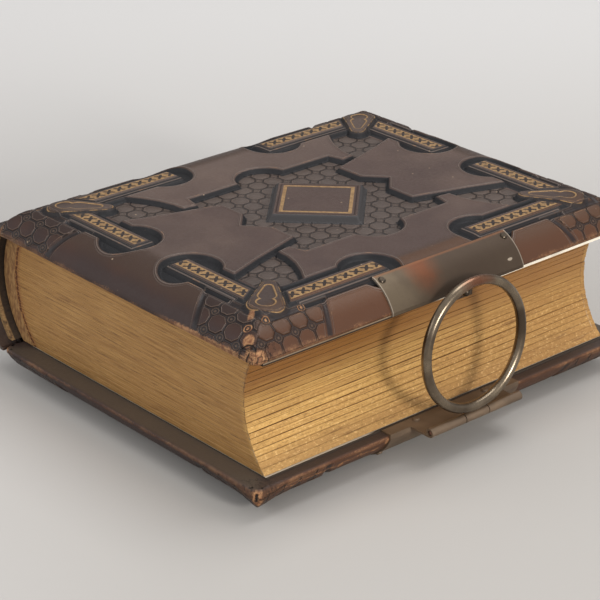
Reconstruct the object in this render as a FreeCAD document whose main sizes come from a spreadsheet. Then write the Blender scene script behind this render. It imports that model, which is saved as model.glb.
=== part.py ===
"""Clasp photograph album lying on its back cover, in millimetres.

Origin: centre of the back cover's underside. +X runs from the spine to the clasp, +Y from the tail to the
head, +Z up to the front cover. Two bevelled, embossed leather covers hold a block of thick gilt leaves with a
hollow back, and a sprung ring on a three-knuckle hinge closes over a stud on the front cover.
"""

import FreeCAD, Part
import math
import os
import Sketcher

Vector = FreeCAD.Vector
Placement = FreeCAD.Placement
Rotation = FreeCAD.Rotation

DIMENSIONS = {
    # covers
    "cover_length": 150.0,
    "cover_width": 120.0,
    "cover_thickness": 9.4,
    "bevel_width": 13.0,
    "edge_thickness": 1.0,
    "leather_thickness": 0.9,
    "turn_in_width": 11.0,
    "turn_in_thickness": 0.4,
    "front_lining_thickness": 0.8,
    "back_lining_thickness": 0.3,
    "front_lining_margin": 0.4,
    "front_lining_tail_margin": 3.0,
    # relief of the embossed leather
    "relief_depth": 1.6,
    "relief_rise": 0.5,
    "tablet_half_diagonal": 15.5,
    "tablet_foot_half_diagonal": 20.2,
    "tablet_border": 0.5,
    "tablet_line_width": 1.3,
    "tablet_line_depth": 0.2,
    "panel_half_width": 26.4,
    "panel_half_length": 28.2,
    "panel_step": 23.5,
    "panel_notch_rise": 1.0,
    "panel_point": 29.5,
    "panel_point_half_width": 6.5,
    "panel_lobe_radius": 9.3,
    "panel_lobe_reach": 33.5,
    "arm_root_inner": 16.5,
    "arm_root_outer": 20.7,
    "arm_neck": 33.5,
    "arm_bow": 1.8,
    "arm_end_inner": 26.5,
    "arm_end_outer": 42.0,
    "strip_half_width": 4.3,
    "channel_half_width": 6.0,
    "pool_radius": 9.2,
    "side_strip_line": 46.7,
    "side_pool_centre": 21.9,
    "side_strip_end": 17.4,
    "end_strip_line": 59.6,
    "end_pool_centre": 13.8,
    "end_strip_end": 7.7,
    "medallion_tip_x": 37.4,
    "medallion_tip_y": 50.8,
    "medallion_tip_radius": 2.2,
    "medallion_bulb_x": 47.0,
    "medallion_bulb_y": 60.2,
    "medallion_bulb_radius": 4.9,
    # leaves
    "leaf_count": 24,
    "leaf_thickness": 1.25,
    "leaf_gap": 0.25,
    "leaf_groove_depth": 0.4,
    "leaf_clearance": 0.2,
    "tail_square": 6.8,
    "round_depth": 8.42,
    "round_height": 20.6,
    "round_reach": 7.6,
    "fore_recess": 12.8,
    "guard_depth": 5.6,
    # hollow back
    "hollow_gap": 0.8,
    "liner_thickness": 1.4,
    "liner_overhang": 3.2,
    "joint_gap": 0.3,
    "joint_lip_rise": 0.2,
    # clasp
    "plate_thickness": 0.6,
    "plate_length": 52.0,
    "plate_reach": 8.0,
    "flange_width": 3.2,
    "flange_clearance": 0.5,
    "tongue_width": 9.0,
    "tongue_drop": 2.0,
    "tongue_clearance": 0.1,
    "tongue_thickness": 1.0,
    "tongue_height": 3.2,
    "stud_neck_radius": 0.8,
    "stud_head_radius": 1.3,
    "stud_length": 3.1,
    "stud_height": 0.6,
    "barrel_length": 36.4,
    "barrel_radius": 1.4,
    "barrel_reach": 8.2,
    "ring_knuckle_length": 9.0,
    "knuckle_clearance": 0.3,
    "pin_radius": 0.8,
    "pin_clearance": 0.05,
    "pin_recess": 0.8,
    "ring_radius": 19.0,
    "ring_wire_radius": 1.5,
    "ring_seat": 0.1,
    "ring_lean": 3.0,
    "nail_head_radius": 1.1,
    "nail_head_height": 0.5,
    "nail_head_chamfer": 0.3,
    "nail_shank_radius": 0.5,
    "nail_depth": 3.0,
    "nail_inset": 1.9,
    "flange_nail_spacing": 28.0,
}

doc = FreeCAD.newDocument("album")
sheet = doc.addObject("Spreadsheet::Sheet", "Sizes")
for row, (name, size) in enumerate(DIMENSIONS.items(), start=1):
    sheet.set(f"A{row}", name)
    sheet.set(f"B{row}", str(size))
    sheet.setAlias(f"B{row}", name)
doc.recompute()


class Sheet:
    """Reads a cell of the sheet by its alias."""

    def __getattr__(self, alias):
        return float(sheet.get(alias))


size = Sheet()
ALONG_Y = Rotation(Vector(1, 0, 0), 90)
ALONG_X = Rotation(Vector(1, 1, 1), 120)
FLIPPED = Rotation(Vector(1, 0, 0), 180)

# Expressions that several pieces share. A cover is drawn with its inner face at height 0.
HALF_WIDTH = "Sizes.cover_width / 2"
HALF_LENGTH = "Sizes.cover_length / 2"
LEAF_PITCH = "(Sizes.leaf_thickness + Sizes.leaf_gap)"
BACK_INNER = "(Sizes.cover_thickness + Sizes.relief_rise)"
BLOCK_BOTTOM = f"({BACK_INNER} + Sizes.back_lining_thickness + Sizes.leaf_clearance)"
BLOCK_TOP = f"({BLOCK_BOTTOM} + Sizes.leaf_count * {LEAF_PITCH} - Sizes.leaf_gap)"
FRONT_INNER = f"({BLOCK_TOP} + Sizes.leaf_clearance + Sizes.front_lining_thickness)"
BLOCK_HALF_LENGTH = f"({HALF_LENGTH} - Sizes.tail_square)"
ROUND_Z = f"({BACK_INNER} + Sizes.round_height)"
ROUND_RISE = f"({ROUND_Z} - {BLOCK_BOTTOM})"
ROUND_RADIUS = f"(({ROUND_RISE} * {ROUND_RISE} + Sizes.round_depth * Sizes.round_depth) / (2 * Sizes.round_depth))"
SPINE_CENTRE = f"({ROUND_RADIUS} - {HALF_WIDTH} - Sizes.round_reach)"
GUARD_CENTRE = f"({SPINE_CENTRE} + Sizes.guard_depth)"
FORE_CENTRE = f"({HALF_WIDTH} - Sizes.fore_recess + {ROUND_RADIUS})"
PIN_X = f"({HALF_WIDTH} + Sizes.barrel_reach)"
PIN_Z = f"({BACK_INNER} + Sizes.barrel_radius)"
RING_ARM = "(Sizes.barrel_radius + Sizes.ring_wire_radius - Sizes.ring_seat + Sizes.ring_radius)"
PLATE_START = f"({HALF_WIDTH} - Sizes.plate_reach)"
TONGUE_BACK = f"({HALF_WIDTH} + Sizes.tongue_clearance)"
TONGUE_FACE = f"({TONGUE_BACK} + Sizes.tongue_thickness)"


def value(expression):
    """The number that an expression over the sheet comes to."""
    return float(sheet.evalExpression(expression))


def arc_between(start, end, radius, side):
    """The shorter arc from start to end; its centre is left of the way there where side is 1, else right."""
    chord = end - start
    rise = math.sqrt(max(radius**2 - (chord.Length / 2) ** 2, 0.0))
    left = Vector(-chord.y, chord.x, 0).normalize()
    centre = (start + end) * 0.5 + left * (side * rise)
    first, last = (start, end) if side > 0 else (end, start)
    angles = [math.atan2(p.y - centre.y, p.x - centre.x) for p in (first, last)]
    return Part.ArcOfCircle(Part.Circle(centre, Vector(0, 0, 1), radius), angles[0], angles[1])


def profile(name, corners, arcs, rotation):
    """A closed sketch through corners given as pairs of expressions.

    arcs maps the number of a side to (radius expression, side of its centre); other sides are straight.
    Every corner is held from the origin by two driving distances bound to the sheet.
    """
    sketch = doc.addObject("Sketcher::SketchObject", name)
    sketch.Placement = Placement(Vector(), rotation)
    places = [Vector(value(x), value(y), 0) for x, y in corners]
    heads, tails = [], []
    for i, start in enumerate(places):
        end = places[(i + 1) % len(places)]
        if i in arcs:
            radius, side = arcs[i]
            sketch.addGeometry(arc_between(start, end, value(radius), side))
            heads.append((i, 1 if side > 0 else 2))
            tails.append((i, 2 if side > 0 else 1))
        else:
            sketch.addGeometry(Part.LineSegment(start, end))
            heads.append((i, 1))
            tails.append((i, 2))
    for i, tail in enumerate(tails):
        sketch.addConstraint(Sketcher.Constraint("Coincident", *tail, *heads[(i + 1) % len(heads)]))
    for i, (x, y) in enumerate(corners):
        drive(sketch, Sketcher.Constraint("DistanceX", -1, 1, *heads[i], places[i].x), x)
        drive(sketch, Sketcher.Constraint("DistanceY", -1, 1, *heads[i], places[i].y), y)
    for i, (radius, _) in arcs.items():
        drive(sketch, Sketcher.Constraint("Radius", i, value(radius)), radius)
    return sketch


def drive(sketch, constraint, expression):
    """Adds a driving constraint whose value follows an expression."""
    number = sketch.addConstraint(constraint)
    sketch.setExpression(f"Constraints[{number}]", expression)


def extrusion(name, sketch, length):
    """A solid of the sketch, to both sides of its plane."""
    solid = doc.addObject("Part::Extrusion", name)
    solid.Base = sketch
    solid.DirMode = "Normal"
    solid.Symmetric = True
    solid.Solid = True
    solid.setExpression("LengthFwd", length)
    return solid


def combine(kind, name, *pieces):
    """A boolean of whole objects: Cut takes the base and one tool, the others any number."""
    result = doc.addObject(kind, name)
    if kind == "Part::Cut":
        result.Base, result.Tool = pieces
    else:
        result.Shapes = list(pieces)
    return result


def block(name, low, high):
    """A box between two corners given as triples of expressions."""
    box = doc.addObject("Part::Box", name)
    for edge, axis, start, end in zip(("Length", "Width", "Height"), "xyz", low, high):
        box.setExpression(edge, f"({end}) - ({start})")
        box.setExpression(f".Placement.Base.{axis}", start)
    return box


def rod(name, radius, start, end, x, z):
    """A cylinder along Y from start to end, its axis at x and z, all given as expressions."""
    cylinder = doc.addObject("Part::Cylinder", name)
    cylinder.Placement = Placement(Vector(), Rotation(Vector(1, 0, 0), -90))
    cylinder.setExpression("Radius", radius)
    cylinder.setExpression("Height", f"({end}) - ({start})")
    cylinder.setExpression(".Placement.Base.x", x)
    cylinder.setExpression(".Placement.Base.y", start)
    cylinder.setExpression(".Placement.Base.z", z)
    return cylinder


def bevel_profile(name, half, inset, bottom, rotation):
    """Cross-section of a cover: a flat top, and a long convex bevel down to a thin upright edge."""
    outer = f"{half} - ({inset})"
    flat = f"{half} - Sizes.bevel_width"
    top = f"Sizes.cover_thickness - ({inset})"
    run = f"(Sizes.bevel_width - ({inset}))"
    rise = f"({top} - Sizes.edge_thickness)"
    radius = f"({run} * {run} + {rise} * {rise}) / (2 * {rise})"
    corners = [
        (f"-({outer})", bottom),
        (outer, bottom),
        (outer, "Sizes.edge_thickness"),
        (flat, top),
        (f"-({flat})", top),
        (f"-({outer})", "Sizes.edge_thickness"),
    ]
    return profile(name, corners, {2: (radius, 1), 4: (radius, 1)}, rotation)


def pillow(name, inset, bottom="0"):
    """A slab with the cover's bevel on four sides, its outer surface set in by inset, mitred at the corners."""
    across = bevel_profile(f"{name}_across", HALF_WIDTH, inset, bottom, ALONG_Y)
    along = bevel_profile(f"{name}_along", HALF_LENGTH, inset, bottom, ALONG_X)
    sides = extrusion(f"{name}_sides", across, "Sizes.cover_length + 2 * Sizes.bevel_width")
    ends = extrusion(f"{name}_ends", along, "Sizes.cover_width + 2 * Sizes.bevel_width")
    return combine("Part::MultiCommon", name, sides, ends)


def prism(points, bows=None):
    """An upright prism over a closed outline, tall enough to pass through a cover.

    bows maps the number of a side to how far its middle is bowed out to the right of the way along it.
    """
    places = [Vector(x, y, -size.cover_thickness) for x, y in points]
    sides = []
    for i, start in enumerate(places):
        end = places[(i + 1) % len(places)]
        bow = (bows or {}).get(i)
        if bow:
            way = (end - start).normalize()
            middle = (start + end) * 0.5 + Vector(way.y, -way.x, 0) * bow
            sides.append(Part.Arc(start, middle, end).toShape())
        else:
            sides.append(Part.makeLine(start, end))
    return Part.Face(Part.Wire(sides)).extrude(Vector(0, 0, 3 * size.cover_thickness))


def disc(x, y, radius):
    """An upright round prism, as tall as prism."""
    return Part.makeCylinder(radius, 3 * size.cover_thickness, Vector(x, y, -size.cover_thickness))


def rectangle(x_range, y_range):
    """An upright prism over a rectangle."""
    (x0, x1), (y0, y1) = x_range, y_range
    return prism([(x0, y0), (x1, y0), (x1, y1), (x0, y1)])


def four_ways(solid):
    """The solid and its mirror images in both of the cover's middle lines."""
    pair = [solid, solid.mirror(Vector(), Vector(1, 0, 0))]
    return pair + [s.mirror(Vector(), Vector(0, 1, 0)) for s in pair]


def diamond(half_diagonal):
    """Corners of a square set on its corner."""
    return [(half_diagonal, 0), (0, half_diagonal), (-half_diagonal, 0), (0, -half_diagonal)]


def strapwork_quarter():
    """A quarter of the sunken strapwork panel, with the arm that runs out to the corner."""
    ledge = (size.channel_half_width + size.strip_half_width) / 2
    arm_top = size.end_strip_line - ledge
    arm_side = size.side_strip_line - ledge
    outline = [
        (0, 0),
        (0, size.panel_point),
        (size.panel_point_half_width, size.panel_step),
        (size.arm_root_inner, size.panel_step),
        (size.arm_end_inner, arm_top),
        (arm_side, arm_top),
        (arm_side, size.arm_end_outer),
        (size.arm_root_outer, size.arm_neck),
        (size.arm_root_outer, size.panel_half_length + size.panel_notch_rise),
        (size.panel_half_width, size.panel_half_length),
        (size.panel_half_width, 0),
    ]
    outer_flank = outline.index((arm_side, size.arm_end_outer))
    lobe = disc(size.panel_lobe_reach - size.panel_lobe_radius, 0, size.panel_lobe_radius)
    return prism(outline, {outer_flank: -size.arm_bow}).fuse(lobe)


def channels():
    """The sunken channels round the two lattice strips of a quarter, each with its round pool."""
    reach = size.channel_half_width
    side, end = size.side_strip_line, size.end_strip_line
    side_run = rectangle((side - reach, side + reach), (size.side_pool_centre, size.medallion_tip_y))
    side_pool = disc(side, size.side_pool_centre, size.pool_radius)
    end_run = rectangle((size.end_pool_centre, size.medallion_tip_x), (end - reach, end + reach))
    end_pool = disc(size.end_pool_centre, end, size.pool_radius)
    return side_run.fuse([side_pool, end_run, end_pool])


def strips():
    """The two moulded lattice strips of a quarter, standing in their channels."""
    half = size.strip_half_width
    side, end = size.side_strip_line, size.end_strip_line
    side_strip = rectangle((side - half, side + half), (size.side_strip_end, size.medallion_bulb_y))
    end_strip = rectangle((size.end_strip_end, size.medallion_bulb_x), (end - half, end + half))
    return side_strip.fuse(end_strip)


def medallion():
    """A pear-shaped boss: a small circle and a large one joined by their outer tangents."""
    tip = Vector(size.medallion_tip_x, size.medallion_tip_y, 0)
    bulb = Vector(size.medallion_bulb_x, size.medallion_bulb_y, 0)
    axis = (bulb - tip).normalize()
    across = Vector(-axis.y, axis.x, 0)
    lean = (size.medallion_bulb_radius - size.medallion_tip_radius) / (bulb - tip).Length
    spread = math.sqrt(1 - lean**2)
    flank = []
    for hand in (1, -1):
        normal = across * (hand * spread) - axis * lean
        pair = [tip + normal * size.medallion_tip_radius, bulb + normal * size.medallion_bulb_radius]
        flank += pair if hand > 0 else pair[::-1]
    body = prism([(p.x, p.y) for p in flank])
    return body.fuse(
        [
            disc(tip.x, tip.y, size.medallion_tip_radius),
            disc(bulb.x, bulb.y, size.medallion_bulb_radius),
        ]
    )


def feature(name, shape):
    """A plain document object holding a shape made from the sheet's sizes."""
    result = doc.addObject("Part::Feature", name)
    result.Shape = shape
    return result


def sunken_ground():
    """Everything that the relief sinks: strapwork and channels, less the strips and medallions."""
    grounds = []
    for part in four_ways(strapwork_quarter()) + four_ways(channels()):
        grounds.append(part)
    standing = []
    for part in four_ways(strips()) + four_ways(medallion()):
        standing.append(part)
    return grounds[0].fuse(grounds[1:]).cut(standing).removeSplitter()


def square_ring(half_diagonal, width, top, depth):
    """A square ring set on its corner, width wide across its sides, from top down to depth."""
    outer = prism(diamond(half_diagonal))
    inner = prism(diamond(half_diagonal - width * math.sqrt(2)))
    ring = outer.cut(inner)
    ring.translate(Vector(0, 0, top - depth + size.cover_thickness))
    return ring


def tablet():
    """The central tablet: a sloping square frame set on its corner, with a fine line round its flat face."""
    floor = size.cover_thickness - size.relief_depth
    top = size.cover_thickness + size.relief_rise
    rings = []
    for half, height in ((size.tablet_foot_half_diagonal, floor), (size.tablet_half_diagonal, top)):
        points = [Vector(x, y, height) for x, y in diamond(half)]
        rings.append(Part.makePolygon(points + points[:1]))
    frame = Part.makeLoft(rings, True, True)
    line_reach = size.tablet_half_diagonal - size.tablet_border * math.sqrt(2)
    return frame.cut(square_ring(line_reach, size.tablet_line_width, top, size.tablet_line_depth))


def bevel_point(x, inset):
    """Height and slope angle of the bevelled surface at x, for a surface set in by inset."""
    run = size.bevel_width - inset
    rise = size.cover_thickness - inset - size.edge_thickness
    radius = (run**2 + rise**2) / (2 * rise)
    past = x - (size.cover_width / 2 - size.bevel_width)
    height = size.cover_thickness - inset - radius + math.sqrt(radius**2 - past**2)
    return height, math.degrees(math.asin(past / radius))


def nail(depth):
    """A nail turned about its shank: a chamfered head above height 0 and a shank below."""
    head, chamfer = size.nail_head_radius, size.nail_head_chamfer
    section = [
        (0, -depth),
        (size.nail_shank_radius, -depth),
        (size.nail_shank_radius, 0),
        (head, 0),
        (head, size.nail_head_height - chamfer),
        (head - chamfer, size.nail_head_height),
        (0, size.nail_head_height),
    ]
    outline = Part.makePolygon([Vector(r, 0, z) for r, z in section + section[:1]])
    return Part.Face(outline).revolve(Vector(), Vector(0, 0, 1), 360)


def corner_nails():
    """Two nails square to the bevel, near the inner corners of a clasp plate."""
    x = size.cover_width / 2 - size.plate_reach + size.nail_inset
    height, slope = bevel_point(x, -size.plate_thickness)
    turn = Rotation(Vector(0, 1, 0), slope)
    nails = []
    for hand in (-1, 1):
        y = hand * (size.plate_length / 2 - size.nail_inset)
        one = nail(size.nail_depth)
        one.Placement = Placement(Vector(x, y, height), turn)
        nails.append(one)
    return nails


def flange_nails():
    """Two short nails in the inner flange of the lower plate, heads on its inner side."""
    x = size.cover_width / 2 - size.flange_width / 2
    nails = []
    for hand in (-1, 1):
        one = nail(size.plate_thickness)
        place = Vector(x, hand * size.flange_nail_spacing / 2, -size.plate_thickness)
        one.Placement = Placement(place, FLIPPED)
        nails.append(one)
    return nails


def copy(name, source, rise, rotation):
    """A sub-part made from a shared piece, lifted by an expression and turned."""
    link = doc.addObject("App::Link", name)
    link.setLink(source)
    link.Placement = Placement(Vector(), rotation)
    link.setExpression(".Placement.Base.z", rise)
    link.Label = name
    return link


def embossed_cover():
    """The shared pieces of both covers: bevelled board, embossed leather with its turn-ins, and nail holes."""
    outer = pillow("outer_form", "0")
    floor = pillow("floor_form", "Sizes.relief_depth")
    proud = pillow("proud_form", "-Sizes.relief_rise")
    board = pillow("board_form", "Sizes.relief_depth + Sizes.leather_thickness", "Sizes.turn_in_thickness")
    ground = feature("sunken_ground", sunken_ground())
    carved = combine("Part::Cut", "carved", ground, floor)
    face = combine("Part::Cut", "carved_face", outer, carved)
    bosses = medallion_bosses(proud)
    whole = combine("Part::MultiFuse", "relief", face, bosses, feature("tablet", tablet()))
    margin = "Sizes.turn_in_width"
    opening = block(
        "lining_opening",
        (f"-({HALF_WIDTH} - {margin})", f"-({HALF_LENGTH} - {margin})", "-Sizes.turn_in_thickness"),
        (f"{HALF_WIDTH} - {margin}", f"{HALF_LENGTH} - {margin}", "2 * Sizes.turn_in_thickness"),
    )
    nails = feature("corner_nails", Part.makeCompound(corner_nails()))
    core = combine("Part::MultiFuse", "leather_core", board, opening)
    skin = combine("Part::Cut", "skin", whole, core)
    leather = combine("Part::Cut", "embossed_leather", skin, nails)
    drilled = combine("Part::Cut", "drilled_board", board, nails)
    return leather, drilled, nails


def medallion_bosses(proud):
    """The four medallions, raised above the leather and following its bevel."""
    shapes = four_ways(medallion())
    tall = feature("medallion_prisms", Part.makeCompound(shapes))
    return combine("Part::MultiCommon", "medallions", tall, proud)


def lining(name, thickness, fore_margin, tail_margin):
    """Lining paper of a cover: it fills the opening between the turn-ins and lies over their inner part."""
    margin = "Sizes.turn_in_width"
    low = (f"-({HALF_WIDTH} - {margin})", f"-({HALF_LENGTH} - {margin})", "0")
    high = (f"{HALF_WIDTH} - {margin}", f"{HALF_LENGTH} - {margin}", "Sizes.turn_in_thickness")
    fill = block(f"{name}_fill", low, high)
    reach = f"{HALF_LENGTH} - {tail_margin}"
    sheet_low = (f"-({HALF_WIDTH} - {margin} / 2)", f"-({reach})", f"-{thickness}")
    sheet_high = (f"{HALF_WIDTH} - {fore_margin}", reach, "0")
    return combine("Part::MultiFuse", name, fill, block(f"{name}_sheet", sheet_low, sheet_high))


def round_x(centre, radius, height):
    """Where a circle of the spine or fore edge lies at a height, left of its centre."""
    return f"{centre} - sqrt(({radius}) * ({radius}) - (({height}) - {ROUND_Z}) * (({height}) - {ROUND_Z}))"


def leaves(name, inset, length):
    """The block of leaves: a hollow fore edge, and a back rounded alike inside the cloth guards."""
    fore_centre = f"({FORE_CENTRE} - {inset})"
    corners = [
        (round_x(fore_centre, ROUND_RADIUS, BLOCK_BOTTOM), BLOCK_BOTTOM),
        (round_x(fore_centre, ROUND_RADIUS, BLOCK_TOP), BLOCK_TOP),
        (round_x(GUARD_CENTRE, ROUND_RADIUS, BLOCK_TOP), BLOCK_TOP),
        (round_x(GUARD_CENTRE, ROUND_RADIUS, BLOCK_BOTTOM), BLOCK_BOTTOM),
    ]
    sketch = profile(f"{name}_section", corners, {0: (ROUND_RADIUS, -1), 2: (ROUND_RADIUS, 1)}, ALONG_Y)
    return extrusion(name, sketch, length)


def leaf_gaps():
    """Thin slabs between the leaves, one above each leaf but the last."""
    body = doc.addObject("PartDesign::Body", "leaf_gaps")
    plane = [f for f in body.Origin.OriginFeatures if f.Role == "XY_Plane"][0]
    sketch = body.newObject("Sketcher::SketchObject", "gap_outline")
    sketch.AttachmentSupport = [(plane, "")]
    sketch.MapMode = "FlatFace"
    sketch.setExpression(".AttachmentOffset.Base.z", f"{BLOCK_BOTTOM} + Sizes.leaf_thickness")
    half = (size.cover_width, size.cover_length)
    corners = [Vector(x * half[0], y * half[1], 0) for x, y in ((-1, -1), (1, -1), (1, 1), (-1, 1))]
    for i, corner in enumerate(corners):
        sketch.addGeometry(Part.LineSegment(corner, corners[(i + 1) % 4]))
    for i in range(4):
        sketch.addConstraint(Sketcher.Constraint("Coincident", i, 2, (i + 1) % 4, 1))
        kind = "Horizontal" if i % 2 == 0 else "Vertical"
        sketch.addConstraint(Sketcher.Constraint(kind, i))
    sketch.addConstraint(Sketcher.Constraint("Symmetric", 0, 1, 1, 2, -1, 1))
    drive(sketch, Sketcher.Constraint("DistanceX", 0, 1, 0, 2, 2 * half[0]), "2 * Sizes.cover_width")
    drive(sketch, Sketcher.Constraint("DistanceY", 1, 1, 1, 2, 2 * half[1]), "2 * Sizes.cover_length")
    pad = body.newObject("PartDesign::Pad", "gap_pad")
    pad.Profile = sketch
    pad.setExpression("Length", "Sizes.leaf_gap")
    row = body.newObject("PartDesign::LinearPattern", "gap_row")
    row.Originals = [pad]
    axis = [f for f in body.Origin.OriginFeatures if f.Role == "Z_Axis"][0]
    row.Direction = (axis, [""])
    row.setExpression("Length", f"(Sizes.leaf_count - 2) * {LEAF_PITCH}")
    row.setExpression("Occurrences", "Sizes.leaf_count - 1")
    body.Tip = row
    return body


def leaf_block():
    """All leaves as one block, grooved between leaf and leaf along the fore edge, tail and head."""
    whole = leaves("leaf_outline", "0", f"2 * {BLOCK_HALF_LENGTH}")
    depth = "Sizes.leaf_groove_depth"
    core = leaves("leaf_core", depth, f"2 * ({BLOCK_HALF_LENGTH} - {depth})")
    split = combine("Part::Cut", "leaf_edges", whole, leaf_gaps())
    return combine("Part::MultiFuse", "leaf_block", split, core)


def curved_band(name, inside, outside, heights, length):
    """A strip of the spine's round between two arcs, each a centre and a radius, and two heights."""
    bottom, top = heights
    corners = [
        (round_x(*outside, top), top),
        (round_x(*outside, bottom), bottom),
        (round_x(*inside, bottom), bottom),
        (round_x(*inside, top), top),
    ]
    sketch = profile(f"{name}_section", corners, {0: (outside[1], 1), 2: (inside[1], -1)}, ALONG_Y)
    return extrusion(name, sketch, length)


def leaf_guards():
    """Cloth guards that join the leaves at the back, as deep at every height."""
    inside, outside = (GUARD_CENTRE, ROUND_RADIUS), (SPINE_CENTRE, ROUND_RADIUS)
    return curved_band("leaf_guards", inside, outside, (BLOCK_BOTTOM, BLOCK_TOP), f"2 * {BLOCK_HALF_LENGTH}")


def spine_liner():
    """Stiff paper lining of the hollow back, a narrow gap behind the guards."""
    inner = f"({ROUND_RADIUS} + Sizes.hollow_gap)"
    outer = f"({inner} + Sizes.liner_thickness)"
    length = f"2 * ({BLOCK_HALF_LENGTH} + Sizes.liner_overhang)"
    bottom = f"({BACK_INNER} + Sizes.leather_thickness)"
    top = f"({FRONT_INNER} - Sizes.leather_thickness)"
    return curved_band("spine_liner", (SPINE_CENTRE, inner), (SPINE_CENTRE, outer), (bottom, top), length)


def spine_leather():
    """Leather of the spine: a round between two flat joint lips that lie beside the covers' edges."""
    inner = f"({ROUND_RADIUS} + Sizes.hollow_gap + Sizes.liner_thickness)"
    outer = f"({inner} + Sizes.leather_thickness)"
    rise = "(Sizes.edge_thickness + Sizes.joint_lip_rise)"
    top = f"({FRONT_INNER} + {rise})"
    bottom = f"({BACK_INNER} - {rise})"
    joint = f"-({HALF_WIDTH} + Sizes.joint_gap)"
    low_inside = f"({bottom} + Sizes.leather_thickness)"
    high_inside = f"({top} - Sizes.leather_thickness)"
    corners = [
        (joint, top),
        (round_x(SPINE_CENTRE, outer, top), top),
        (round_x(SPINE_CENTRE, outer, bottom), bottom),
        (joint, bottom),
        (joint, low_inside),
        (round_x(SPINE_CENTRE, inner, low_inside), low_inside),
        (round_x(SPINE_CENTRE, inner, high_inside), high_inside),
        (joint, high_inside),
    ]
    sketch = profile("spine_section", corners, {1: (outer, 1), 5: (inner, -1)}, ALONG_Y)
    return extrusion("spine_leather", sketch, "Sizes.cover_length")


def plate_shell():
    """Sheet metal bent over the bevel and edge of a cover, before it is cut to its outline."""
    over = pillow("plate_over", "-Sizes.plate_thickness", "-Sizes.plate_thickness")
    under = pillow("plate_under", "0")
    return combine("Part::Cut", "plate_shell", over, under)


def plate_zone(name, start, bottom):
    """The box that keeps a plate's length of the bent sheet, from start outwards and from bottom up."""
    low = (start, "-Sizes.plate_length / 2", bottom)
    high = (f"{HALF_WIDTH} + Sizes.bevel_width", "Sizes.plate_length / 2", "2 * Sizes.cover_thickness")
    return block(name, low, high)


def upper_plate(shell, nails):
    """Clasp plate of the front cover, with a tongue over the edge that carries the stud."""
    bent = combine("Part::MultiCommon", "upper_bent", shell, plate_zone("upper_zone", PLATE_START, "0"))
    tongue = block(
        "tongue",
        (TONGUE_BACK, "-Sizes.tongue_width / 2", "-Sizes.tongue_drop"),
        (TONGUE_FACE, "Sizes.tongue_width / 2", "Sizes.tongue_height - Sizes.tongue_drop"),
    )
    joined = combine("Part::MultiFuse", "upper_joined", bent, tongue)
    drilled = combine("Part::Cut", "upper_drilled", joined, nails)
    return combine("Part::Cut", "upper_plate_form", drilled, stud_shank("stud_hole"))


def stud_shank(name):
    """The stud's shank, along X from the back of the tongue to the middle of the stud's head."""
    shank = doc.addObject("Part::Cylinder", name)
    shank.Placement = Placement(Vector(), Rotation(Vector(0, 1, 0), 90))
    shank.setExpression("Radius", "Sizes.stud_neck_radius")
    shank.setExpression("Height", "Sizes.tongue_thickness + Sizes.stud_length - Sizes.stud_head_radius")
    shank.setExpression(".Placement.Base.x", TONGUE_BACK)
    shank.setExpression(".Placement.Base.z", "Sizes.stud_height")
    return shank


def clasp_stud():
    """Round-headed stud riveted through the tongue."""
    head = doc.addObject("Part::Sphere", "stud_head")
    head.setExpression("Radius", "Sizes.stud_head_radius")
    head.setExpression(".Placement.Base.x", f"{TONGUE_FACE} + Sizes.stud_length - Sizes.stud_head_radius")
    head.setExpression(".Placement.Base.z", "Sizes.stud_height")
    return combine("Part::MultiFuse", "stud_form", head, stud_shank("stud_shank"))


def outer_knuckles():
    """The two fixed knuckles of the hinge, at the ends of the barrel."""
    ends = []
    start = "Sizes.ring_knuckle_length / 2 + Sizes.knuckle_clearance"
    stop = "Sizes.barrel_length / 2"
    ends.append(rod("knuckle_tail", "Sizes.barrel_radius", f"-({stop})", f"-({start})", PIN_X, PIN_Z))
    ends.append(rod("knuckle_head", "Sizes.barrel_radius", start, stop, PIN_X, PIN_Z))
    return ends


def bore(name):
    """The hinge's bore through all three knuckles."""
    radius = "Sizes.pin_radius + Sizes.pin_clearance"
    return rod(name, radius, "-Sizes.barrel_length", "Sizes.barrel_length", PIN_X, PIN_Z)


def lower_plate(shell, nails):
    """Clasp plate of the back cover with its inner flange, hinge leaf and two outer knuckles."""
    bent_zone = plate_zone("lower_zone", PLATE_START, "0")
    flange_zone = plate_zone("flange_zone", f"{HALF_WIDTH} - Sizes.flange_width", "-Sizes.plate_thickness")
    zone = combine("Part::MultiFuse", "lower_zones", bent_zone, flange_zone)
    bent = combine("Part::MultiCommon", "lower_bent", shell, zone)
    pierced = combine("Part::Cut", "lower_pierced", bent, nails)
    turned = copy("lower_turned", pierced, BACK_INNER, FLIPPED)
    top = f"{BACK_INNER} + Sizes.plate_thickness"
    leaf = block(
        "hinge_leaf",
        (HALF_WIDTH, "-Sizes.barrel_length / 2", BACK_INNER),
        (PIN_X, "Sizes.barrel_length / 2", top),
    )
    slot_half = "(Sizes.ring_knuckle_length / 2 + Sizes.knuckle_clearance)"
    slot = block(
        "knuckle_slot",
        (f"{PIN_X} - Sizes.barrel_radius - Sizes.knuckle_clearance", f"-{slot_half}", "0"),
        (f"{PIN_X} + Sizes.barrel_reach", slot_half, f"2 * ({top})"),
    )
    joined = combine("Part::MultiFuse", "lower_joined", turned, leaf, *outer_knuckles())
    slotted = combine("Part::Cut", "lower_slotted", joined, slot)
    return combine("Part::Cut", "clasp_lower_plate", slotted, bore("lower_bore"))


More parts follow.
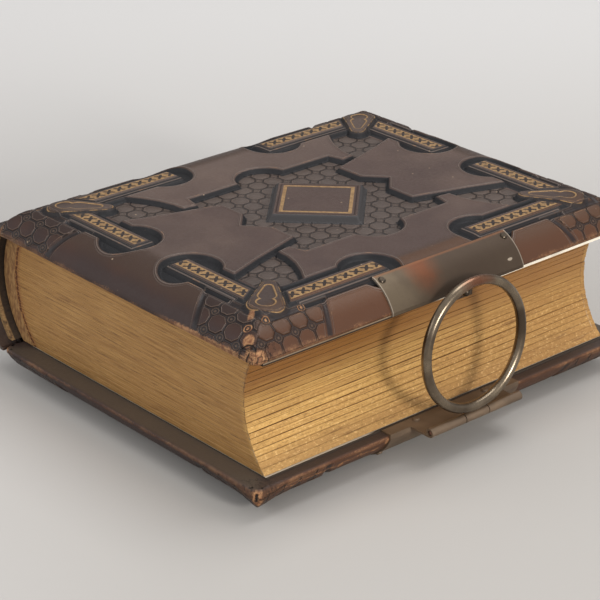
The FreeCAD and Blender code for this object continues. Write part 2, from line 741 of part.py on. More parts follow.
def clasp_ring():
    """The ring, soldered in a shallow seat on its knuckle and leaning towards the stud."""
    torus = doc.addObject("Part::Torus", "ring_wire")
    torus.setExpression("Radius1", "Sizes.ring_radius")
    torus.setExpression("Radius2", "Sizes.ring_wire_radius")
    torus.Placement = Placement(Vector(), Rotation(Vector(0, 1, 0), 90 - size.ring_lean))
    torus.setExpression(".Placement.Base.x", f"{PIN_X} - {RING_ARM} * sin(Sizes.ring_lean * 1deg)")
    torus.setExpression(".Placement.Base.z", f"{PIN_Z} + {RING_ARM} * cos(Sizes.ring_lean * 1deg)")
    seat = rod("ring_seat_cut", "Sizes.barrel_radius", "-Sizes.barrel_length", "Sizes.barrel_length", PIN_X, PIN_Z)
    return combine("Part::Cut", "clasp_ring", torus, seat)


def ring_knuckle():
    """The middle knuckle, which turns with the ring."""
    half = "Sizes.ring_knuckle_length / 2"
    tube = rod("ring_tube", "Sizes.barrel_radius", f"-{half}", half, PIN_X, PIN_Z)
    return combine("Part::Cut", "ring_knuckle", tube, bore("ring_bore"))


def hinge_pin():
    """Hinge pin, a little shorter than the barrel."""
    half = "(Sizes.barrel_length / 2 - Sizes.pin_recess)"
    return rod("hinge_pin", "Sizes.pin_radius", f"-{half}", half, PIN_X, PIN_Z)


def covers():
    """Both covers: the same board and leather twice, the back one turned over."""
    leather, board, nails = embossed_cover()
    front = (FRONT_INNER, Rotation())
    back = (BACK_INNER, FLIPPED)
    front_lining = lining(
        "front_lining_form",
        "Sizes.front_lining_thickness",
        "Sizes.front_lining_margin",
        "Sizes.front_lining_tail_margin",
    )
    beside_flange = "(Sizes.flange_width + Sizes.flange_clearance)"
    back_lining = lining("back_lining_form", "Sizes.back_lining_thickness", beside_flange, "Sizes.tail_square")
    shell = plate_shell()
    all_nails = feature("lower_nails", Part.makeCompound(corner_nails() + flange_nails()))
    return [
        copy("front_leather", leather, *front),
        copy("front_board", board, *front),
        copy("front_lining", front_lining, *front),
        copy("clasp_upper_plate", upper_plate(shell, nails), *front),
        copy("upper_plate_nails", nails, *front),
        copy("clasp_stud", clasp_stud(), *front),
        copy("back_leather", leather, *back),
        copy("back_board", board, *back),
        copy("back_lining", back_lining, *back),
        lower_plate(shell, all_nails),
        copy("lower_plate_nails", all_nails, *back),
    ]


sub_parts = covers() + [
    leaf_block(),
    leaf_guards(),
    spine_liner(),
    spine_leather(),
    hinge_pin(),
    clasp_ring(),
    ring_knuckle(),
]
doc.recompute()

for item in doc.Objects:
    if "Invalid" in item.State or "Error" in item.State:
        raise RuntimeError(f"{item.Name} failed: {item.State}")

os.makedirs("parts", exist_ok=True)
for part in sub_parts:
    shape = Part.getShape(part)
    if shape.isNull() or not shape.isValid():
        raise RuntimeError(f"{part.Label} has no valid shape")
    shape.exportStep(f"parts/{part.Label}.step")
    print(f"{part.Label:20s} solids {len(shape.Solids)} volume {shape.Volume:10.1f} faces {len(shape.Faces)}")
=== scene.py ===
"""Album with a ring clasp: embossed leather covers, gilt card leaves and a hollow back, in metres."""

import math
from types import SimpleNamespace

import bpy
import numpy as np
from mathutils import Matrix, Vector


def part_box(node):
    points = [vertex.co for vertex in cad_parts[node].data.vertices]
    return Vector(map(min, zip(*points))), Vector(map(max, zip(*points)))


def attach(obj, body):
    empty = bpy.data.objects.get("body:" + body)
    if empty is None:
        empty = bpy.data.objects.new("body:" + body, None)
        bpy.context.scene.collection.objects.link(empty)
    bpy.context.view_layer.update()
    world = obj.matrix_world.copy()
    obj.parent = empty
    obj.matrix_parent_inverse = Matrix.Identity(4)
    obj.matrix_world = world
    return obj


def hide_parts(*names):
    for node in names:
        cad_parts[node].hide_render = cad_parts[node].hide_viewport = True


MM = 0.001

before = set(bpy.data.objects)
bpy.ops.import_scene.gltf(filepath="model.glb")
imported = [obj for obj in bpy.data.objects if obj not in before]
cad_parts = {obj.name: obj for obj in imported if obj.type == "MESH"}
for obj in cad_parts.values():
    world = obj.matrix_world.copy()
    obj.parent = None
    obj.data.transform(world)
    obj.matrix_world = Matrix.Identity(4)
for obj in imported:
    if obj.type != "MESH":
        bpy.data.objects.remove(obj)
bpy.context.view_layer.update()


# ---------------------------------------------------------------- sizes of the binding, in millimetres

# the bevelled covers
COVER_THICKNESS = 9.4
BEVEL_WIDTH = 13.0
EDGE_THICKNESS = 1.0
RIM_RIPPLE, SURFACE_WAVE = 0.12, 0.03
CORNER_RADIUS = 2.2
CORNER_SPREAD = 8.0
MITRE_SOFTNESS = 0.9

# the relief: depth of the sunken ground, height of what stands proud
RELIEF_DEPTH = 1.6
RELIEF_RISE = 0.5
GROUND_RIM_RISE = 0.16
CELL_RISE = 0.22
LOBE_CENTRE, LOBE_RADIUS = 24.2, 9.3

# strips in their channels, each with its middle line, the pool at the channel's end and where the strip runs
CHANNEL_HALF_WIDTH = 6.0
POOL_RADIUS = 9.2
STRIP_HALF_WIDTH = 4.3
STRIP_CHAMFER, STRIP_FALL = 1.5, 0.75
SIDE_STRIP_LINE, SIDE_POOL_CENTRE, SIDE_STRIP_RUN = 46.7, 21.9, (17.4, 60.0)
END_STRIP_LINE, END_POOL_CENTRE, END_STRIP_RUN = 59.6, 13.8, (7.7, 47.0)

# the tablet, a square on its corner: its flat's edge, its foot and its lines, from the middle
TABLET_TOP, TABLET_FOOT = 12.5, 14.3
TABLET_RING_LINE, TABLET_GILT_LINE, TABLET_FINE_LINE = 11.6, 10.25, 9.62
RING_LINE_DEPTH = 0.2

# a medallion, and the bell drawn on it, each as (x, y, radius) of the circles that bound it; the outer end of
# the medallion is cut blunt across its axis, so far from the cover's middle
MEDALLION_TIP, MEDALLION_BULB = (37.4, 50.8, 2.6), (47.0, 60.2, 5.7)
MEDALLION_AXIS, MEDALLION_BLUNT = (0.714, 0.700), 80.2
BELL_TIP, BELL_WAIST, BELL_HEAD = (38.9, 52.3, 1.2), (43.4, 56.7, 2.6), (46.2, 59.5, 2.7)
BELL_DEPTH = 0.25

# the tooled corners on the end and side bevels: where the slanting border lies along the cover, how far out
# that is measured, its slant, and how far out the tooling starts
END_CORNER = (29.0, 66.6, 0.62, 65.4)
SIDE_CORNER = (44.8, 52.8, 0.52, 52.6)
TROUGH_DEPTH = 0.85

# repeats of the tooling; a cell of the net lies so far along from the cover's corner and so far up the bevel
LATTICE_PITCH = 3.9
DIAPER_PITCH = 6.0
NET_PITCH = 5.9
NET_SIDE_START, NET_SIDE_UP = 7.2, 7.3
NET_END_START, NET_END_UP, NET_END_PITCH = 5.6, 5.0, 6.8

# marks on the front's bevels near the clasp corner, in plan: two on the tail's, so far across and towards the
# tail, two on the fore side's and a split; and rubbed spots (y, z) on the back's fore rim
ROSETTE, BALD_SPOT = (51.4, 70.2), (54.5, 72.5)
SMALL_ROSETTES_X, SMALL_ROSETTES_Y = 52.1, (-64.6, -52.1)
SPLIT_X = 56.6
BACK_RIM_SPOTS = ((-26.3, 8.3), (-43.0, 6.2))

# leaves: the gap between them, how unequal they are in pitches, and how far they shift and sway
LEAF_COUNT = 24
LEAF_GAP = 0.06
LEAF_UNEVENNESS, LEAF_SHIFT, LEAF_SWAY = 0.06, 0.10, 0.06

# fore edge and round back, seen from the tail: arcs of one radius about centres at one height
ROUND_RADIUS = 28.2
ROUND_Z = 30.5
FORE_CENTRE = 75.4
SPINE_CENTRE = -39.4
GUARD_DEPTH = 5.6
BLOCK_HALF_LENGTH = 68.2
STITCH_PITCH = 1.7

# the floor behind the album, in metres: it runs away from the camera along (-AWAY_X, AWAY_Y)
AWAY_X, AWAY_Y = 0.752, 0.659
FLOOR_START, FLOOR_END, FLOOR_HALF_WIDTH = -2.0, 1.2, 4.0
WALL_BEND, WALL_HEIGHT = 0.8, 3.5

leather_low, leather_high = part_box("front_leather")
HALF_WIDTH, HALF_LENGTH = leather_high.x / MM, leather_high.y / MM
FRONT_INNER = leather_low.z / MM
BACK_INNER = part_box("back_leather")[1].z / MM
leaf_low, leaf_high = (np.array(corner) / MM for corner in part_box("leaf_block"))
BEVEL_FALL = COVER_THICKNESS - EDGE_THICKNESS
BEVEL_RADIUS = (BEVEL_WIDTH**2 + BEVEL_FALL**2) / (2 * BEVEL_FALL)
BEVEL_LENGTH = BEVEL_RADIUS * math.asin(BEVEL_WIDTH / BEVEL_RADIUS)


# ---------------------------------------------------------------- meshes

def smooth_step(value, start, end):
    """0 before start, 1 after end, and the cubic 3t^2 - 2t^3 between."""
    t = np.clip((value - start) / (end - start), 0.0, 1.0)
    return t * t * (3.0 - 2.0 * t)


def ridge(value, centre, width):
    """A rounded ridge: e to the power of minus the squared distance from the centre, in widths."""
    return np.exp(-(((value - centre) / width) ** 2))


def waves(x, y, seed, scale, octaves=3):
    """Soft random relief between about -1 and 1: sums of sines whose directions and phases come from seed."""
    rng = np.random.default_rng(seed)
    total = np.zeros_like(x)
    weight = 0.0
    for octave in range(octaves):
        for _ in range(4):
            angle, phase = rng.uniform(0, 2 * np.pi, 2)
            rate = 2 * np.pi / scale * 2.0**octave * rng.uniform(0.7, 1.3)
            total += 0.5**octave * np.sin(rate * (x * np.cos(angle) + y * np.sin(angle)) + phase)
        weight += 4 * 0.5**octave
    return total / weight * 2.0


def make_piece(name, points, faces, attributes=None, smooth=True):
    """A mesh object from points in millimetres, faces, and per-point attributes of one or three numbers."""
    mesh = bpy.data.meshes.new(name)
    mesh.from_pydata((np.asarray(points) * MM).tolist(), [], faces)
    for key, values in (attributes or {}).items():
        kind, field = ("FLOAT", "value") if values.ndim == 1 else ("FLOAT_VECTOR", "vector")
        mesh.attributes.new(key, kind, "POINT").data.foreach_set(field, values.astype(np.float32).ravel())
    mesh.polygons.foreach_set("use_smooth", [smooth] * len(mesh.polygons))
    mesh.update()
    piece = bpy.data.objects.new(name, mesh)
    bpy.context.scene.collection.objects.link(piece)
    return piece


def grid_faces(rows, columns, offset=0, wrap_columns=False):
    """Quads of a grid of points counted row by row; wrapped columns join the last of a row to its first."""
    i = np.arange(rows - 1)
    j = np.arange(columns if wrap_columns else columns - 1)
    i, j = np.meshgrid(i, j, indexing="ij")
    row, below, beside = i * columns, (i + 1) * columns, (j + 1) % columns
    quads = np.stack([row + j, row + beside, below + beside, below + j], -1)
    return (quads.reshape(-1, 4) + offset).tolist()


# ---------------------------------------------------------------- the embossed design, in the cover's plane

def polygon_distance(x, y, corners):
    """Signed distance to a closed outline, negative inside: that of the nearest side, signed by crossings."""
    best = np.full(x.shape, 1e9)
    inside = np.zeros(x.shape, bool)
    for (ax, ay), (bx, by) in zip(corners, corners[1:] + corners[:1]):
        ex, ey = bx - ax, by - ay
        t = np.clip(((x - ax) * ex + (y - ay) * ey) / (ex * ex + ey * ey), 0.0, 1.0)
        best = np.minimum(best, np.hypot(x - ax - t * ex, y - ay - t * ey))
        crosses = ((ay > y) != (by > y)) & (x < (bx - ax) * (y - ay) / (by - ay + 1e-12) + ax)
        inside ^= crosses
    return np.where(inside, -best, best)


def box_distance(x, y, x0, x1, y0, y1):
    """Signed distance to an upright rectangle."""
    dx = np.abs(x - (x0 + x1) / 2) - (x1 - x0) / 2
    dy = np.abs(y - (y0 + y1) / 2) - (y1 - y0) / 2
    return np.minimum(np.maximum(dx, dy), 0.0) + np.hypot(np.maximum(dx, 0.0), np.maximum(dy, 0.0))


def circle_distance(x, y, cx, cy, radius):
    """Signed distance to a circle."""
    return np.hypot(x - cx, y - cy) - radius


def rounded_most(a, b, softness):
    """The larger of two distances, rounded where they meet: half of a + b + root((a - b)^2 + softness)."""
    return 0.5 * (a + b + np.sqrt((a - b) ** 2 + softness))


def pear_distance(x, y, tip, bulb):
    """Signed distance to a pear: a circle that goes from tip to bulb while its radius grows evenly."""
    axis = np.array(bulb[:2]) - np.array(tip[:2])
    length = np.hypot(*axis)
    axis = axis / length
    growth = bulb[2] - tip[2]
    along = (x - tip[0]) * axis[0] + (y - tip[1]) * axis[1]
    across = np.abs(-(x - tip[0]) * axis[1] + (y - tip[1]) * axis[0])
    lean = growth / length
    spread = math.sqrt(1 - lean * lean)
    k = np.clip((along + across * lean / spread) / length, 0.0, 1.0)
    return np.hypot(along - k * length, across) - (tip[2] + growth * k)


# a quarter of the sunken star: the block round the middle with its point, and the arm out to the medallion
STRAPWORK = [
    (-9, -9), (-9, 23.5), (-6.5, 23.5), (0, 29.6), (6.5, 23.5), (16.4, 23.5), (19.2, 33), (21.8, 42),
    (24.6, 50), (26.2, 54.5), (40.7, 54.5), (40.7, 41.2), (36, 38.2), (31, 35.8), (26, 34.4), (21.6, 34.0),
    (20.9, 29.3), (26.4, 28.0), (26.4, -9),
]


def around(line, half_width):
    """The two sides of a strip or channel about its middle line."""
    return line - half_width, line + half_width


def channel_distance(x, y):
    """Signed distance to the strips' channels: a straight run and a pool at each side and each end."""
    side_width = around(SIDE_STRIP_LINE, CHANNEL_HALF_WIDTH)
    side_run = box_distance(x, y, *side_width, SIDE_POOL_CENTRE, MEDALLION_TIP[1])
    side_pool = circle_distance(x, y, SIDE_STRIP_LINE, SIDE_POOL_CENTRE, POOL_RADIUS)
    end_width = around(END_STRIP_LINE, CHANNEL_HALF_WIDTH)
    end_run = box_distance(x, y, END_POOL_CENTRE, MEDALLION_TIP[0], *end_width)
    end_pool = circle_distance(x, y, END_POOL_CENTRE, END_STRIP_LINE, POOL_RADIUS)
    return np.minimum(np.minimum(side_run, side_pool), np.minimum(end_run, end_pool))


def slanting_field(along, out, start, at, slant, foot):
    """Negative in a tooled corner: past a border that slants from start as it goes out, and beyond foot."""
    return np.maximum(start + slant * (out - at) - along, foot - out)


def cover_design(x, y):
    """Distances of the whole design at points of the cover's plane, mirrored in both of its middle lines."""
    x, y = np.abs(x), np.abs(y)
    panel = polygon_distance(x, y, STRAPWORK)
    panel = np.minimum(panel, circle_distance(x, y, LOBE_CENTRE, 0.0, LOBE_RADIUS))
    channel = channel_distance(x, y)
    side_strip = box_distance(x, y, *around(SIDE_STRIP_LINE, STRIP_HALF_WIDTH), *SIDE_STRIP_RUN)
    end_strip = box_distance(x, y, *END_STRIP_RUN, *around(END_STRIP_LINE, STRIP_HALF_WIDTH))
    strip = np.minimum(side_strip, end_strip)
    medallion = pear_distance(x, y, MEDALLION_TIP, MEDALLION_BULB)
    blunt_end = MEDALLION_AXIS[0] * x + MEDALLION_AXIS[1] * y - MEDALLION_BLUNT
    medallion = rounded_most(medallion, blunt_end, 0.8)
    bell = np.minimum(pear_distance(x, y, BELL_TIP, BELL_WAIST), circle_distance(x, y, *BELL_HEAD))
    standing = np.minimum(strip, medallion)
    on_side = side_strip < end_strip
    corner = np.minimum(slanting_field(x, y, *END_CORNER), slanting_field(y, x, *SIDE_CORNER))
    by_side = HALF_WIDTH - x < HALF_LENGTH - y
    beside = np.where(by_side, HALF_LENGTH - y, HALF_WIDTH - x)
    above = np.where(by_side, up_bevel(HALF_WIDTH - x), up_bevel(HALF_LENGTH - y))
    return {
        "panel": panel,
        "channel": np.maximum(channel, -standing),
        "ground": np.maximum(np.minimum(panel, channel), -standing),
        "standing": standing,
        "strip": np.maximum(strip, -medallion),
        "medallion": medallion,
        "tablet": (x + y) / math.sqrt(2),
        "along": np.where(on_side, y - SIDE_STRIP_RUN[0], x - END_STRIP_RUN[0]),
        "across": np.where(on_side, x - SIDE_STRIP_LINE, y - END_STRIP_LINE),
        "corner": np.maximum(corner, -medallion),
        "bell": bell,
        "net_along": np.where(
            by_side, beside - NET_SIDE_START, (beside - NET_END_START) * NET_PITCH / NET_END_PITCH
        ),
        "net_up": np.where(by_side, above - NET_SIDE_UP, above - NET_END_UP),
        "above": above,
    }


def up_bevel(from_edge):
    """Length along the curved surface from the cover's edge to a point so far in from it in plan."""
    past = np.clip(BEVEL_WIDTH - from_edge, 0.0, BEVEL_WIDTH)
    on_flat = np.clip(from_edge - BEVEL_WIDTH, 0.0, None)
    return BEVEL_LENGTH - BEVEL_RADIUS * np.arcsin(past / BEVEL_RADIUS) + on_flat


def bevel_drop(past):
    """Fall of the convex bevel at a distance past the flat: a circle's arc, tangent to the flat."""
    past = np.clip(past, 0.0, BEVEL_WIDTH)
    return BEVEL_RADIUS - np.sqrt(BEVEL_RADIUS**2 - past**2)


def pillow_fall(x, y):
    """Fall below the flat: the deeper of the two bevels, with the ridge where they meet rounded over."""
    fall_x = bevel_drop(np.abs(x) - (HALF_WIDTH - BEVEL_WIDTH))
    fall_y = bevel_drop(np.abs(y) - (HALF_LENGTH - BEVEL_WIDTH))
    pinch = np.clip(1 - np.abs(fall_x - fall_y) / MITRE_SOFTNESS, 0.0, 1.0)
    pinch = pinch * smooth_step(np.minimum(fall_x, fall_y), 0.0, 1.0)
    return np.maximum(fall_x, fall_y) + 0.25 * MITRE_SOFTNESS * pinch**2


def cover_height(x, y, design, fat_corner):
    """Height of the embossed leather: the bevelled pillow, less the sunken ground, plus what stands on it.

    fat_corner is how much the leather bunched in the tail corner by the clasp thickens the edge there.
    """
    fall = pillow_fall(x, y)
    height = COVER_THICKNESS - fall
    height += fat_corner * np.exp(-(((x - HALF_WIDTH) ** 2 + (y + HALF_LENGTH) ** 2) / CORNER_SPREAD**2))
    outside = design["medallion"] > 0

    # the sunken ground, the tablet with its ring line, and the ridge pressed up round the ground
    sunk = smooth_step(-design["ground"], -0.1, 0.9)
    foot = smooth_step(design["tablet"], TABLET_FOOT, TABLET_TOP)
    height -= RELIEF_DEPTH * sunk * (1 - foot)
    height += RELIEF_RISE * foot
    height -= RING_LINE_DEPTH * ridge(design["tablet"], TABLET_RING_LINE, 0.25)
    height += GROUND_RIM_RISE * ridge(design["ground"], 0.55, 0.4) * (design["standing"] > 0)

    # strips with chamfered edges, and medallions with a sunken bell
    strip = design["strip"]
    height -= STRIP_FALL * smooth_step(strip, -STRIP_CHAMFER, 0.0) * (strip < 0.6) * outside
    boss = smooth_step(-design["medallion"], -0.2, 1.2)
    height += RELIEF_RISE * 0.8 * boss - BELL_DEPTH * smooth_step(-design["bell"], -0.1, 0.6)

    # the trough that bounds a tooled corner, and its eight-sided cells
    trough = ridge(design["corner"], 0.0, 1.0) * outside
    height -= TROUGH_DEPTH * trough * smooth_step(fall, 0.0, 0.6) * smooth_step(design["above"], 0.5, 6.0)
    half = NET_PITCH / 2
    along = np.abs(np.mod(design["net_along"] + half, NET_PITCH) - half)
    upward = np.abs(np.mod(design["net_up"] + half, NET_PITCH) - half)
    cell = np.maximum(np.maximum(along, upward), (along + upward) * 0.70)
    height += CELL_RISE * smooth_step(cell, 2.9, 2.2) * smooth_step(-design["corner"], 0.8, 1.6)
    height += SURFACE_WAVE * waves(x, y, 5, 34.0)
    return height


def arc_length_line(half, count):
    """Positions across a cover, evenly spaced along the curve of its surface."""
    flat = half - BEVEL_WIDTH
    travel = np.linspace(-(flat + BEVEL_LENGTH), flat + BEVEL_LENGTH, count)
    past = np.clip(np.abs(travel) - flat, 0.0, None)
    place = np.minimum(np.abs(travel), flat) + BEVEL_RADIUS * np.sin(past / BEVEL_RADIUS)
    return np.sign(travel) * place


def rounded_corners(x, y, radius):
    """Pulls a rectangle's corners in to an arc: in the corner square, a square ring goes to a round one."""
    qx = np.abs(x) - (HALF_WIDTH - radius)
    qy = np.abs(y) - (HALF_LENGTH - radius)
    inside = (qx > 0) & (qy > 0)
    reach = np.maximum(qx, qy)
    shrink = np.where(inside, reach / np.maximum(np.hypot(qx, qy), 1e-6), 1.0)
    new_x = np.where(inside, np.sign(x) * (HALF_WIDTH - radius + qx * shrink), x)
    new_y = np.where(inside, np.sign(y) * (HALF_LENGTH - radius + qy * shrink), y)
    return new_x, new_y


# rings that carry the rim down and under: share of the rim's height, step inward, then for the finish the
# distance from the edge and how far the leather is turned in
RIM_RINGS = ((0.62, -0.02, 0.0, 0.0), (0.22, 0.12, 0.0, 0.0), (0.0, 0.5, 0.4, 0.6), (0.0, 1.4, 1.6, 1.0))

# fields of the design that the mesh carries, three to an attribute, and their value below the rim
CARRIED_FIELDS = {
    "outlines": (("ground", "strip", "medallion"), 9.0),
    "lattice": (("along", "across", "tablet"), 99.0),
    "fields": (("panel", "channel", "corner"), 9.0),
    "net": (("net_along", "net_up", "bell"), 9.0),
}


def rim_rings(edge, seed):
    """The rim's points moved inward and lowered, ring by ring, with a small random ripple."""
    near = CORNER_RADIUS + 0.1
    inward = -np.stack([
        np.sign(edge[:, 0]) * (np.abs(edge[:, 0]) > HALF_WIDTH - near),
        np.sign(edge[:, 1]) * (np.abs(edge[:, 1]) > HALF_LENGTH - near),
        np.zeros(len(edge)),
    ], -1)
    inward /= np.linalg.norm(inward, axis=1, keepdims=True)
    ripple = RIM_RIPPLE * waves(edge[:, 0], edge[:, 1], seed, 9.0)[:, None]
    rings = []
    for level, step, _, _ in RIM_RINGS:
        ring = edge + inward * (step + ripple * (0.6 - level))
        ring[:, 2] = edge[:, 2] * level
        rings.append(ring)
    return rings


def cover_leather(seed, fat_corner, columns=275, rows=340):
    """Embossed leather of one cover, inner face at height 0.

    The outside is a grid over the cover whose height is the bevelled pillow with its relief. Its rim is
    carried down round the edge in rings, and one face closes the inner side.
    """
    x, y = np.meshgrid(arc_length_line(HALF_WIDTH, columns), arc_length_line(HALF_LENGTH, rows))
    design = cover_design(x, y)
    height = cover_height(x, y, design, fat_corner)
    px, py = rounded_corners(x, y, CORNER_RADIUS)
    top = np.stack([px, py, height], -1).reshape(-1, 3)
    rim = np.concatenate([
        np.arange(columns - 1),
        np.arange(rows - 1) * columns + columns - 1,
        (rows - 1) * columns + np.arange(columns - 1, 0, -1),
        np.arange(rows - 1, 0, -1) * columns,
    ])
    points = np.concatenate([top] + rim_rings(top[rim], seed))
    faces = grid_faces(rows, columns)
    count = len(rim)
    loop = np.arange(count)
    ahead = np.roll(loop, -1)
    upper = rim
    for k in range(len(RIM_RINGS)):
        lower = len(top) + k * count + loop
        faces += np.stack([upper[loop], lower[loop], lower[ahead], upper[ahead]], -1).tolist()
        upper = lower
    faces.append(upper[::-1].tolist())

    def carried(values, rest):
        """A field of the grid, followed by its value on the rings."""
        return np.concatenate([values.ravel(), np.full(count * len(RIM_RINGS), rest)])

    attributes = {
        key: np.stack([carried(design[name], rest) for name in names], -1)
        for key, (names, rest) in CARRIED_FIELDS.items()
    }
    border = np.minimum(HALF_WIDTH - np.abs(x), HALF_LENGTH - np.abs(y)).ravel()
    borders = np.concatenate([border] + [np.full(count, ring[2]) for ring in RIM_RINGS])
    turned_in = np.concatenate([np.zeros(len(border))] + [np.full(count, ring[3]) for ring in RIM_RINGS])
    attributes["edge"] = np.stack([borders, turned_in, carried(design["above"], 0.0)], -1)
    return points, faces, attributes


# ---------------------------------------------------------------- materials written as arithmetic

class Value:
    """A node socket that arithmetic can be written with: each operation adds a Math node to its tree."""

    def __init__(self, graph, socket):
        self.graph, self.socket = graph, socket

    def __add__(self, other):
        return self.graph.math("ADD", self, other)

    def __sub__(self, other):
        return self.graph.math("SUBTRACT", self, other)

    def __rsub__(self, other):
        return self.graph.math("SUBTRACT", other, self)

    def __mul__(self, other):
        return self.graph.math("MULTIPLY", self, other)

    def __abs__(self):
        return self.graph.math("ABSOLUTE", self)

    __radd__ = __add__
    __rmul__ = __mul__


class Finish:
    """A material whose nodes are written as arithmetic."""

    def __init__(self, name):
        self.material = bpy.data.materials.new(name)
        self.material.use_nodes = True
        self.tree = self.material.node_tree
        self.shader = self.tree.nodes["Principled BSDF"]

    def node(self, kind, inputs=None, **settings):
        """A new node with its settings, its inputs fed by values, sockets or numbers."""
        made = self.tree.nodes.new(kind)
        for key, setting in settings.items():
            setattr(made, key, setting)
        for key, source in (inputs or {}).items():
            self.feed(made.inputs[key], source)
        return made

    def feed(self, socket, source):
        """Links a value or a socket to an input, or sets the input to a number or a colour."""
        if isinstance(source, Value):
            source = source.socket
        if isinstance(source, bpy.types.NodeSocket):
            self.tree.links.new(source, socket)
        elif hasattr(socket.default_value, "__len__") and not hasattr(source, "__len__"):
            socket.default_value = (source,) * len(socket.default_value)
        elif hasattr(socket.default_value, "__len__") and len(socket.default_value) > len(source):
            socket.default_value = (*source, 1.0)
        else:
            socket.default_value = source

    def math(self, operation, *sources):
        """A Math node."""
        made = self.node("ShaderNodeMath", dict(enumerate(sources)), operation=operation)
        return Value(self, made.outputs[0])

    def least(self, a, b):
        """The smaller of two values."""
        return self.math("MINIMUM", a, b)

    def most(self, a, b):
        """The larger of two values."""
        return self.math("MAXIMUM", a, b)

    def length(self, a, b):
        """Length of the vector (a, b)."""
        return self.math("SQRT", a * a + b * b)

    def ramp(self, value, start, end):
        """0 at start and 1 at end, smooth between."""
        made = self.node("ShaderNodeMapRange", {"Value": value, "From Min": start, "From Max": end})
        made.interpolation_type = "SMOOTHSTEP"
        return Value(self, made.outputs[0])

    def line(self, value, centre, half_width, soft=0.12):
        """1 on a line where value is near centre, 0 away from it."""
        return self.ramp(abs(value - centre), half_width + soft, half_width - soft)

    def parts(self, vector):
        """The three values of a vector."""
        made = self.node("ShaderNodeSeparateXYZ", {0: vector})
        return [Value(self, made.outputs[k]) for k in range(3)]

    def attribute(self, name, output="Vector"):
        """What the mesh carries at each point under a name."""
        return self.node("ShaderNodeAttribute", attribute_name=name).outputs[output]

    def place(self, scale=(1000.0, 1000.0, 1000.0), turn=(0.0, 0.0, 0.0)):
        """Object coordinates in millimetres, stretched and turned by a Mapping node."""
        source = self.node("ShaderNodeTexCoord").outputs["Object"]
        mapped = self.node("ShaderNodeMapping", {"Vector": source, "Scale": scale, "Rotation": turn})
        return mapped.outputs[0]

    def noise(self, vector, scale, detail=3.0, rough=0.55, distort=0.0):
        """Cloudy noise about 0.5."""
        made = self.node("ShaderNodeTexNoise", {
            "Vector": vector, "Scale": scale, "Detail": detail, "Roughness": rough, "Distortion": distort,
        })
        return Value(self, made.outputs["Fac"])

    def streaks(self, scale, detail=4.0, rough=0.55):
        """Noise drawn out along some directions: scale is its rate per metre along x, y and z."""
        return self.noise(self.place(scale), 1.0, detail, rough)

    def cells(self, vector, scale):
        """Distance from the nearest of scattered points."""
        made = self.node("ShaderNodeTexVoronoi", {"Vector": vector, "Scale": scale})
        return Value(self, made.outputs["Distance"])

    def mix(self, amount, first, second):
        """Colour first where amount is 0, second where it is 1."""
        made = self.node("ShaderNodeMix", {0: amount}, data_type="RGBA")
        self.feed(made.inputs[6], first)
        self.feed(made.inputs[7], second)
        return made.outputs[2]

    def layered(self, colour, **layers):
        """A colour with others laid over it in the order written, each as (amount, colour) with a name."""
        for amount, over in layers.values():
            colour = self.mix(amount, colour, over)
        return colour

    def bump(self, height, depth, before=None, strength=1.0):
        """Bump from a height whose unit is depth millimetres."""
        inputs = {"Height": height, "Distance": depth * MM, "Strength": strength}
        if before is not None:
            inputs["Normal"] = before
        return self.node("ShaderNodeBump", inputs).outputs[0]

    def finish(self, colour, roughness, normal=None, metallic=None, specular=None):
        """Feeds the shader and gives the material."""
        self.feed(self.shader.inputs["Base Color"], colour)
        self.feed(self.shader.inputs["Roughness"], roughness)
        if normal is not None:
            self.feed(self.shader.inputs["Normal"], normal)
        if metallic is not None:
            self.feed(self.shader.inputs["Metallic"], metallic)
        if specular is not None:
            self.shader.inputs["Specular IOR Level"].default_value = specular
        return self.material


# ---------------------------------------------------------------- embossed leather
#
# The functions below share one namespace, m, of fields in millimetres and of masks that are 1 where
# something is on the leather and 0 elsewhere. Each reads the ones before it and adds its own.

def read_cover(f):
    """The fields that the cover's mesh carries, the place on it, and what the leather's masks share."""
    m = SimpleNamespace()
    for key, (names, _) in CARRIED_FIELDS.items():
        for name, value in zip(names, f.parts(f.attribute(key))):
            setattr(m, name, value)
    m.border, m.turned_in, m.above = f.parts(f.attribute("edge"))
    m.place = f.place()
    m.x, m.y, m.z = f.parts(m.place)
    m.patch = f.noise(m.place, 0.12, 4.0)
    m.fine = f.noise(m.place, 0.9, 4.0)
    m.creases = f.noise(m.place, 2.6, 5.0, 0.6)
    m.local = f.noise(m.place, 0.055, 2.0)
    m.ragged = 2.6 * (m.patch - 0.5) + 2.6 * (m.creases - 0.5)
    m.from_side = HALF_WIDTH - abs(m.x)
    m.from_end = HALF_LENGTH - abs(m.y)
    m.past_mitre = m.from_side - m.from_end
    m.any_corner = f.length(m.from_side, m.from_end)
    m.clasp_corner = f.length(HALF_WIDTH - m.x, HALF_LENGTH + m.y)
    m.front = f.ramp(m.z, 29.0, 31.0)
    m.on_end_bevel = f.ramp(m.past_mitre, -0.4, 0.4)
    m.by_clasp_corner = f.ramp(m.clasp_corner, 22.0, 18.0) * m.front * m.on_end_bevel
    return m


def tooled_cells(f, from_x, from_y, half, cut):
    """Distance from the middle of an eight-sided cell, and from the dot that stands between each four."""
    cell = f.most(f.most(from_x, from_y), (from_x + from_y) * cut)
    dot = f.length(half - from_x, half - from_y)
    return cell, dot


